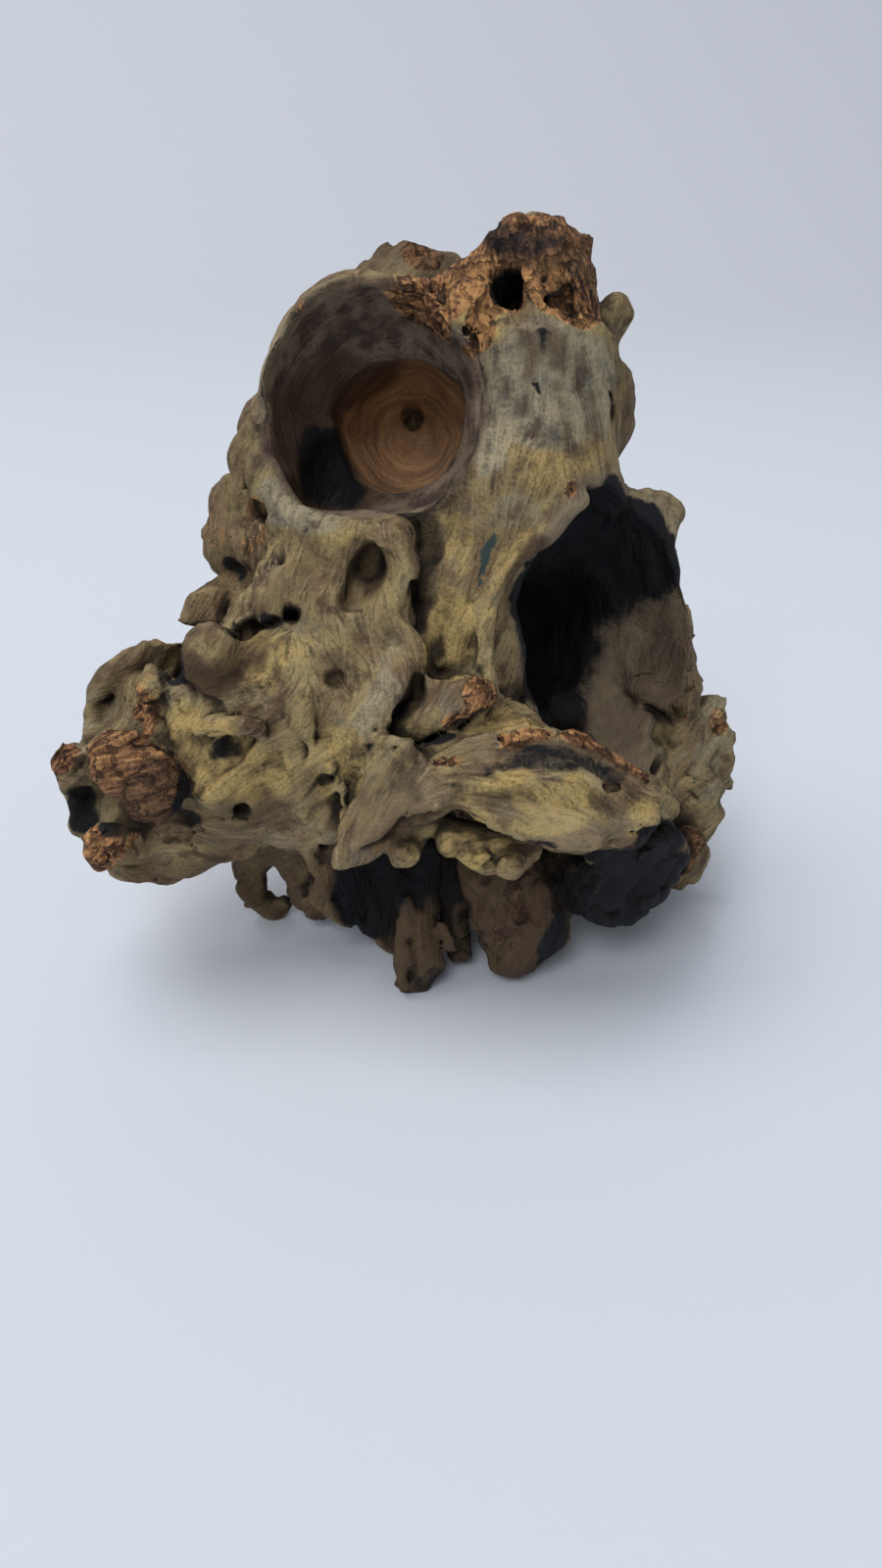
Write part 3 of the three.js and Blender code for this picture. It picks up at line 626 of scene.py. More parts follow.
    def leaf_detail(self) -> list[Step]:
        """The leaf's jagged lower edge, its point and the knobs below it.

        Returns:
            The steps.
        """
        return [
            grow(Flap([(8.4, -50, 72.7, 0.9), (9.3, -52, 68.5, 0.9), (14.6, -49, 74.7, 1.2),
                 (18.2, -56, 65.6, 0.8), (24.7, -47, 77.5, 1.3), (24.8, -57.5, 63.1, 0.8),
                 (35, -45, 79.6, 1.3), (32.8, -57.5, 59.6, 0.8), (42.5, -43, 76.7, 1.3),
                 (42.2, -56, 59.7, 1.0), (51.1, -42, 71.4, 1.3), (52.1, -52, 57.4, 1.2),
                 (57.8, -40, 64.9, 1.3), (62, -46, 55.7, 1.4)]), 1.2),
            grow(Flap([(18, -55, 68, 1.2), (21.5, -58, 61.5, 0.7), (25, -56.5, 66, 1.2),
                 (29, -58, 58.5, 0.7), (33, -56.5, 63, 1.2), (37, -58, 56.5, 0.7), (42, -55, 62, 1.2),
                 (46, -56, 55, 0.7), (50, -51, 60, 1.2)]), 1.0),
            grow(Limb([(11, -53, 71, 0.8), (20, -55.5, 71, 1.0), (31, -54, 71, 1.2), (42, -51, 69, 1.0)]), 2),
            grow(Lump((48, -43, 68), (6, 4, 4.5), (-35, 0, 0)), 1.5),
            hollow(Limb([(43, -47, 69, 0.8), (47, -49, 66.5, 0.8), (52, -47, 66, 0.8),
                 (54, -43, 68, 0.7)]), 0.8),
            grow(Lump((1.5, -52, 50), (4, 3.5, 4)), 1.2),
            grow(Lump((12, -51, 53), (3.6, 3, 4)), 1.2),
            grow(Lump((19, -52, 51), (3.8, 3.6, 4.6)), 1.2),
            grow(Lump((26.5, -52.5, 48), (4.2, 4, 4.6)), 1.2),
            hollow(Limb([(6, -54, 56, 0.7), (7, -54, 49, 0.9)]), 0.8),
            hollow(Limb([(15.5, -54, 57, 0.7), (15.5, -55, 49, 1.0)]), 0.8),
            hollow(Limb([(23, -56, 53, 0.7), (22.5, -56, 45, 1.0)]), 0.8),
        ]

    def fold_detail(self) -> list[Step]:
        """The swirl beside the fold, the long crack below it and the pits on the shoulder.

        Returns:
            The steps.
        """
        return [
            hollow(Limb([(-25, -24, 116, 1.2), (-20, -25, 118, 1.6), (-15, -26, 114, 1.6),
                 (-19, -25, 110, 1.2)]), 1.5),
            hollow(Flap([(-5.2, -42, 79.6, 0.5), (-4.6, -54, 84.8, 0.5), (-9.6, -44, 69.9, 0.5),
                 (-8.8, -56, 75.5, 0.5), (-13.5, -44, 57, 0.5), (-12.9, -56, 62.4, 0.5)]), 0.6),
            hollow(Flap([(-32.3, -38, 102.8, 1.2), (-35.3, -20, 95.4, 0.8), (-23.5, -38, 105.9, 1.2),
                 (-25.9, -20, 98.7, 0.8)]), 1.0),
            hollow(Lump((-41.5, -41, 71.5), (4.6, 4.2, 2.6), (0, -12, 0)), 1.2),
            grow(Limb([(-48, -38, 76.5, 1.6), (-39.5, -40, 79.6, 2.4), (-33, -40, 77.5, 1.6)]), 3),
            hollow(Limb([(-21, -41, 83, 1.0), (-17, -41, 84.5, 1.4), (-12, -41, 84, 1.0)]), 0.8),
            grow(Limb([(-20, -37, 89, 1.2), (-22, -40.5, 80, 1.8), (-21, -42, 71, 2.0),
                 (-25, -40, 60, 1.6)]), 4),
            hollow(Lump((-14, -47, 74), (4, 5, 11), (0, -14, 0)), 3),
        ]

    def column_detail(self) -> list[Step]:
        """Fine splits in the column and at the foot of the sunk panel.

        Returns:
            The steps.
        """
        return [
            hollow(Limb([(14, -28, 108, 0.7), (15, -30, 101, 0.9), (15, -32, 93, 0.6)]), 0.6),
            hollow(Limb([(21, -33, 86, 0.9), (25, -31, 84, 1.2), (30, -28, 85, 0.9)]), 0.6),
        ]

    def stub_detail(self) -> list[Step]:
        """The jagged end of the broken stub and the crack that runs on from it.

        Returns:
            The steps.
        """
        return [
            hollow(Flap([(-0.8, -52, 79.2, 0.6), (-1.4, -38, 71.7, 0.6), (5.7, -52, 80.7, 0.8),
                 (4.5, -38, 73.2, 0.8), (13.3, -52, 84.2, 0.9), (12, -38, 76.6, 0.8),
                 (18.9, -50, 86.2, 0.8), (18, -38, 80, 0.7), (21.9, -48, 87.5, 0.6)]), 0.6),
            grow(Limb([(4, -40, 80, 2.6), (11, -42, 84, 3.0), (18, -43, 89, 3.0)]), 2),
            grow(Limb([(16, -42, 88, 2.0), (20, -42, 89.5, 1.4)]), 1),
            hollow(Limb([(20, -46, 87, 0.8), (15, -46, 84, 0.9)]), 0.6),
        ]

    def arm_detail(self) -> list[Step]:
        """The pits in the hollow stub, the cracks in the rotten block, the loose flake and small holes.

        Returns:
            The steps.
        """
        return [
            hollow(Lump((-74.5, -52, 49.5), (1.4, 3, 2.2)), 0.6),
            hollow(Lump((-71, -52, 48.5), (1.3, 3, 1.8)), 0.6),
            hollow(Lump((-73, -52, 45), (2.0, 2.4, 0.9)), 0.6),
            hollow(Limb([(-64.5, -46, 52, 2), (-64, -44, 43, 2.2)]), 1),
            hollow(Limb([(-74, -49, 73, 0.9), (-66, -49, 71, 1.0), (-61, -46, 72, 0.9)]), 0.8),
            hollow(Limb([(-76, -48, 66, 0.9), (-68, -49.5, 64.5, 1.1), (-62, -47, 63, 0.9)]), 0.8),
            hollow(Limb([(-69, -49, 75, 0.8), (-70, -50, 66, 1.0), (-72, -48, 60, 0.8)]), 0.8),
            hollow(Lump((-40, -41, 55), (1.7, 5, 1.7)), 0.8),
            grow(Flap([(-61, -27, 88, 0.8), (-59, -29, 84, 0.8), (-63, -29, 83, 0.8),
                 (-61.5, -31, 79, 0.7)]), 0.5),
            hollow(Lump((-55, -30, 90.5), (4.2, 8, 7.5), (0, 14, 0)), 1.5),
            grow(Lump((-44.5, -30, 91.5), (7.2, 6.5, 7.2)), 0.8),
            grow(Lump((-60.5, -42, 63), (8, 6, 10)), 2),
            hollow(Limb([(-53.5, -45, 70, 1.2), (-52.5, -45, 62, 1.6), (-54.5, -45, 54, 1.4)]), 0.8),
            hollow(Limb([(-58.5, -49, 69, 0.8), (-60, -49, 60, 0.9), (-58, -48, 54, 0.8)]), 0.8),
            hollow(Limb([(-52, -33, 86, 0.9), (-45, -36.5, 83.5, 1.0), (-38, -35, 87, 0.9),
                 (-36.5, -34, 94, 0.8)]), 0.8),
        ]

    def neck_detail(self) -> list[Step]:
        """The thin lip in front of the crown, its splits, and the flap beside the bowl.

        Returns:
            The steps.
        """
        return [
            grow(Flap([(19, 0, 159.5, 0.9), (20, -1, 152, 2), (26, -3.5, 161.5, 0.9), (27, -4, 152, 2),
                 (33, -4.5, 162, 0.9), (34, -5, 152, 2), (40, -3.5, 161.5, 0.9), (40, -4, 152, 2),
                 (46, 0, 160.5, 0.9), (46, -1, 152, 2)]), 1.6),
            hollow(Limb([(33.5, -7, 163, 0.9), (33.5, -8, 156, 0.8), (32.5, -8, 149, 0.5)]), 0.6),
            hollow(Limb([(28, -6, 162, 0.7), (27, -7, 156, 0.5)]), 0.6),
            hollow(Limb([(39, -6, 162, 0.6), (39.5, -6, 156, 0.5)]), 0.6),
            grow(Limb([(19, -12, 134, 2.2), (19.5, -9, 141, 2.0), (20, -6, 147, 1.4)]), 1.5),
            hollow(Limb([(16.5, -7, 141, 1.8), (18, -3, 148, 2.4)]), 0.8),
            grow(Limb([(46, 10, 150, 3), (48, 8, 140, 3.4), (50, 4, 128, 3)]), 3),
            hollow(Limb([(47, 2, 152, 2), (50, 2, 142, 2.4)]), 1.5),
            hollow(Lump((26.5, 5, 168.5), (5.4, 7, 4.2), (0, 32, 0)), 1.5),
            grow(Lump((39, 9, 167), (6, 6, 6)), 3),
            grow(Lump((35, 8.5, 172), (4, 4.5, 4)), 2),
            hollow(Lump((39.5, 2.5, 167.5), (3.4, 3.6, 4.4)), 2),
            hollow(Limb([(33, 2, 176, 1.0), (34, 4, 170, 1.1), (33, 3, 165, 1.0)]), 1),
        ]

    def bowl_detail(self) -> list[Step]:
        """The small pit at the heart of the bowl's rings and the wavy left rim.

        Returns:
            The steps.
        """
        return [
            hollow(Lump((2, 42, 132), (3, 3, 3.5)), 1.5),
            hollow(Lump((-33, -14, 137), (3, 5, 2.4)), 1),
            grow(Limb([(-38, -6, 128, 2.4), (-38.5, -5, 134, 2.6), (-36, -4, 140, 2)]), 1.2),
            grow(Limb([(-34, -10, 126, 2.2), (-34, -9, 133, 2.2)]), 1.2),
        ]

    def cave_detail(self) -> list[Step]:
        """The round knot on the cave's floor, the closed crack over it and the notches of its right rim.

        Returns:
            The steps.
        """
        return [
            grow(Limb([(66, 8, 66, 4), (73, 4, 63, 4), (76, 0, 56, 4)]), 3),
            grow(Lump((44, 0, 63), (6, 6, 5)), 1),
            hollow(Flap([(56.6, -4, 70.1, 0.7), (59.2, 12, 62.5, 0.7), (61.9, -6, 68.5, 0.7),
                 (63.8, 4, 63.6, 0.7), (67.3, -8, 66.5, 0.7), (69.3, 2, 61.6, 0.7),
                 (71.5, -14, 64.1, 0.7), (73.9, -3, 58.4, 0.7), (68.2, -20, 60.6, 0.7),
                 (70.8, -8, 54, 0.7), (64.6, -24, 56.9, 0.7), (67.1, -12, 50.2, 0.7)]), 0.6),
            hollow(Limb([(68, -2, 98, 1.1), (73, 2, 98.5, 1.4), (76, 6, 99, 1.4)]), 0.8),
            hollow(Limb([(66, -4, 106, 1.2), (71, 0, 107, 1.6)]), 0.8),
            hollow(Lump((40, -21, 128), (5, 2.2, 1.8), (0, -24, 0)), 0.8),
            hollow(Limb([(34, -20, 128, 0.7), (40, -19.5, 130.5, 0.9), (46, -15, 131.5, 0.9)]), 0.6),
        ]

    def lobe_detail(self) -> list[Step]:
        """The hollow under the left lobe and the flutes on it.

        Returns:
            The steps.
        """
        return [
            hollow(Lump((-42, -9, 104), (4.5, 8, 3)), 1.2),
            hollow(Limb([(-36, -9, 124, 1.2), (-34, -12, 114, 1.6), (-37, -11, 106, 1.2)]), 1.2),
            hollow(Limb([(-43, -6, 125, 1.2), (-43, -8, 116, 1.5), (-40, -9, 108, 1.2)]), 1.2),
            hollow(Limb([(-29, -16, 118, 1.2), (-28, -18, 109, 1.6), (-31, -18, 101, 1.2)]), 1.2),
            grow(Flap([(-46, -4, 99, 1.6), (-54, -5, 97, 0.8), (-48, -6, 93, 1.8), (-57, -6, 92, 0.8)]), 1.2),
        ]

    def foot_detail(self) -> list[Step]:
        """The ridges on the toe and the broad leg and the furrows of the charred root.

        Returns:
            The steps.
        """
        return [
            grow(Limb([(1, -38, 26, 1.4), (0, -44, 13, 1.8), (1, -46, 4, 1.8)]), 1.5),
            grow(Limb([(10, -38, 18, 1.6), (12.5, -39, 12, 1.4)]), 1.2),
            grow(Limb([(20, -41, 34, 1.6), (29, -44, 25, 1.8), (36, -43, 18, 1.8)]), 2),
            hollow(Limb([(27, -46, 30, 1.6), (36, -45, 26, 2)]), 1.6),
            hollow(Limb([(16, -42, 28, 1.4), (22, -45, 16, 1.8), (26, -44, 6, 1.6)]), 2),
            grow(Flap([(46, -43, 47, 1.6), (52, -40, 38, 3), (58, -44, 47, 1.2), (64, -36, 36, 3),
                 (70, -37, 45, 1.4), (72, -30, 36, 3)]), 2),
            hollow(Limb([(48, -43, 42, 1.2), (56, -45, 37, 1.8), (66, -41, 38, 1.2)]), 1.2),
            hollow(Limb([(46, -42, 35, 1.2), (56, -44, 31, 1.8), (68, -39, 31, 1.4)]), 1.2),
            hollow(Limb([(47, -40, 27, 1.2), (57, -42, 24, 1.8), (67, -37, 24, 1.2)]), 1.2),
            hollow(Limb([(62, -43, 44, 1.0), (61, -44, 34, 1.4), (60, -40, 22, 1.0)]), 1.2),
            grow(Lump((77, -20, 30), (5.5, 6, 7)), 1.5),
        ]

    def steps(self) -> list[Step]:
        """Every step of the large forms, first to last.

        Returns:
            The steps.
        """
        groups = (
            self.trunk, self.bowl_head, self.cave_body, self.neck, self.column,
            self.shoulder_and_arm, self.left_lobes, self.right_knobs, self.back_ridges,
            self.under_hollows, self.front_leaf, self.burnt_root, self.broken_stub,
            self.right_fins, self.feet, self.bowl, self.cave, self.crown_holes, self.arm_end,
            self.fold_and_cleft, self.crest_and_panel, self.stub_end, self.thin_edges,
        )
        return [step for group in groups for step in group()]

    def details(self) -> list[Step]:
        """The small forms that are too fine for the solid model, first to last; these are not bent.

        Returns:
            The steps.
        """
        groups = (
            self.leaf_detail, self.fold_detail, self.column_detail, self.stub_detail, self.arm_detail,
            self.neck_detail, self.bowl_detail, self.cave_detail, self.lobe_detail, self.foot_detail,
        )
        return [step for group in groups for step in group()]


# Noise, grain and places


def speckle(points: Array, seed: int) -> Array:
    """Smooth random values: each lattice corner has a hashed value, and corners blend by 3t^2 - 2t^3.

    Args:
        points: N by 3 places, one lattice cell to a unit.
        seed: picks another pattern.

    Returns:
        N values from 0 to 1.
    """
    low = np.floor(points)
    part = (points - low).astype(np.float32)
    part = part * part * (3 - 2 * part)
    cell = low.astype(np.int32).view(np.uint32)
    primes = [np.uint32(p) for p in (374761393, 668265263, 1274126177)]
    first = [cell[:, i] * primes[i] for i in range(3)]
    first[0] = first[0] + np.uint32(((seed + SEED) * 974634777) % 2**32)
    total = np.zeros(len(points), np.float32)
    for corner in np.ndindex(2, 2, 2):
        mixed = first[0] + first[1] + first[2]
        mixed += np.uint32(sum(int(primes[i]) for i in range(3) if corner[i]) % 2**32)
        mixed ^= mixed >> np.uint32(13)
        mixed *= np.uint32(1103515245)
        mixed ^= mixed >> np.uint32(16)
        mixed *= np.uint32(69069)
        value = (mixed >> np.uint32(8)).astype(np.float32)
        for i in range(3):
            value *= part[:, i] if corner[i] else 1 - part[:, i]
        total += value
    return total / np.float32(2**24)


def layered_speckle(points: Array, seed: int, layers: int = 3) -> Array:
    """Speckle at falling sizes: each layer is half as large and counts half as much, scaled to 0 to 1.

    Args:
        points: N by 3 places, one cell of the largest layer to a unit.
        seed: picks another pattern.
        layers: how many sizes.

    Returns:
        N values from 0 to 1.
    """
    total, weight, whole = 0.0, 1.0, 0.0
    for layer in range(layers):
        total = total + weight * speckle(points * 2**layer, seed + 31 * layer)
        whole += weight
        weight *= 0.5
    return total / whole


def ridges(values: Array) -> Array:
    """Turns smooth noise into sharp crests: 1 - |2 v - 1|."""
    return 1 - np.abs(2 * values - 1)


def ease(low: float, high: float, values: Array) -> Array:
    """Rises from 0 at low to 1 at high as 3t^2 - 2t^3; low may be the larger one."""
    t = np.clip((values - low) / (high - low), 0, 1)
    return t * t * (3 - 2 * t)


@dataclass(frozen=True)
class GrainPlace:
    """Which way the grain runs round one place: its middle, how far it is felt, and the direction."""

    centre: Triple
    spread: float
    along: Triple


@dataclass(frozen=True)
class Grain:
    """The run of the grain over the whole piece, and the rings of the bowl."""

    ring_middle: Triple = (0.0, 25.0, 132.0)
    ring_mouth: Triple = (-7.0, -25.0, 152.0)
    waver: float = 0.75
    places: tuple[GrainPlace, ...] = (
        GrainPlace((35, 8, 140), 34, (0.05, 0.05, 1.0)),
        GrainPlace((13, -14, 98), 26, (0.22, 0.25, 1.0)),
        GrainPlace((-14, -18, 100), 20, (0.3, 0.1, 1.0)),
        GrainPlace((-32, -18, 84), 20, (0.75, 0.2, 0.7)),
        GrainPlace((-42, 2, 116), 20, (-0.25, 0.0, 1.0)),
        GrainPlace((-64, -26, 62), 28, (0.95, 0.3, 0.25)),
        GrainPlace((-22, -30, 62), 16, (0.35, -0.3, 0.9)),
        GrainPlace((36, -44, 64), 22, (0.85, 0.2, -0.5)),
        GrainPlace((2, -46, 60), 14, (0.75, -0.1, 0.65)),
        GrainPlace((18, -49, 49), 12, (0.5, 0.2, 0.8)),
        GrainPlace((58, -26, 30), 22, (0.35, 0.1, 0.95)),
        GrainPlace((4, -36, 16), 18, (0.05, 0.1, 1.0)),
        GrainPlace((30, -32, 18), 16, (0.35, 0.0, 0.95)),
        GrainPlace((74, 4, 84), 24, (-0.3, 0.0, 0.95)),
        GrainPlace((86, 6, 46), 20, (0.9, 0.35, 0.35)),
        GrainPlace((46, 4, 84), 26, (0.3, 0.3, 0.9)),
        GrainPlace((-6, 10, 144), 34, (0.15, 0.25, 0.95)),
        GrainPlace((10, 46, 80), 44, (0.15, 0.15, 1.0)),
        GrainPlace((40, 40, 30), 30, (-0.25, 0.2, 0.9)),
        GrainPlace((-40, 20, 60), 34, (0.7, -0.1, 0.6)),
    )

    def along(self, points: Array, in_bowl: Array) -> Array:
        """Direction of the grain at each point.

        It is the mean of the places' directions, weighted by exp(-(distance / spread)^2), swayed by smooth
        noise. In the bowl it runs round the axis of the rings.

        Args:
            points: N by 3 places in millimetres.
            in_bowl: N shares, 1 on the inside of the bowl.

        Returns:
            N by 3 unit vectors.
        """
        total = np.zeros((len(points), 3), np.float32)
        for place in self.places:
            away = points - np.array(place.centre, np.float32)
            weight = np.exp(-(away * away).sum(1) / place.spread**2) + 1e-6
            total += weight[:, None] * np.array(place.along, np.float32) / np.linalg.norm(place.along)
        total /= np.linalg.norm(total, axis=1, keepdims=True)
        sway = np.stack([speckle(points / 17.0, 400 + i) for i in range(3)], 1) - 0.5
        total += 2 * self.waver * sway
        middle = np.array(self.ring_middle, np.float32)
        axis = np.array(self.ring_mouth, np.float32) - middle
        axis /= np.linalg.norm(axis)
        around = np.cross(np.broadcast_to(axis, points.shape), points - middle)
        around /= np.linalg.norm(around, axis=1, keepdims=True) + 1e-6
        share = in_bowl[:, None]
        total = total * (1 - share) + around * share
        return (total / (np.linalg.norm(total, axis=1, keepdims=True) + 1e-6)).astype(np.float32)

    def ring_place(self, points: Array) -> Array:
        """How far each point is from the axis of the rings, with half its depth along the axis added.

        Args:
            points: N by 3 places in millimetres.

        Returns:
            N distances in millimetres.
        """
        middle = np.array(self.ring_middle, np.float32)
        axis = np.array(self.ring_mouth, np.float32) - middle
        axis /= np.linalg.norm(axis)
        away = points - middle
        depth = away @ axis
        return np.linalg.norm(away - depth[:, None] * axis, axis=1) + 0.5 * depth


def combed(points: Array, along: Array, size: float, seed: int, reach: int = 3) -> Array:
    """Noise combed along the grain: the mean of noise at places one size apart along it, spread out again.

    Args:
        points: N by 3 places in millimetres.
        along: N by 3 directions of the grain.
        size: width of a streak in millimetres.
        seed: picks another pattern.
        reach: how many places are taken on each side.

    Returns:
        N values from 0 to 1.
    """
    steps = range(-reach, reach + 1)
    total = sum(speckle((points + along * (step * size * 0.9)) / size, seed) for step in steps)
    mean = total / (2 * reach + 1)
    return np.clip(0.5 + (mean - 0.5) * 1.9, 0, 1)


@dataclass(frozen=True)
class Patch:
    """A soft round place on the wood: 1 inside, falling to 0 past its radii."""

    centre: Triple
    radii: Triple
    strength: float = 1.0

    def share(self, points: Array) -> Array:
        """Share of the patch: the point's length over the radii, eased from 1.25 down to 0.75."""
        away = (points - np.array(self.centre, np.float32)) / np.array(self.radii, np.float32)
        return self.strength * ease(1.25, 0.75, np.linalg.norm(away, axis=1))


@dataclass(frozen=True)
class Trail:
    """A soft band along a line of points, each with its half width."""

    knots: Sequence[tuple[float, float, float, float]]
    strength: float = 1.0

    def share(self, points: Array) -> Array:
        """Share of the band: distance to the line, over its half width, eased from 1.3 down to 0.6.

        Args:
            points: N by 3 places in millimetres.

        Returns:
            N shares from 0 to the band's strength.
        """
        course = Limb(self.knots, 3).course()
        columns = [points[:, i] for i in range(3)]
        best = np.zeros(len(points), np.float32)
        for start, end in zip(course[:-1], course[1:]):
            width = 0.5 * (start[3] + end[3])
            line = cone_distance(columns, np.append(start[:3], 0.0), np.append(end[:3], 0.0))
            best = np.maximum(best, ease(1.3, 0.6, line / width))
        return self.strength * best


def largest_share(places: Iterable[Union[Patch, Trail]], points: Array) -> Array:
    """The greatest share that any of the places has at each point.

    Args:
        places: the patches.
        points: N by 3 places in millimetres.

    Returns:
        N shares, each the largest that any patch gives.
    """
    best = np.zeros(len(points), np.float32)
    for place in places:
        np.maximum(best, place.share(points), out=best)
    return best


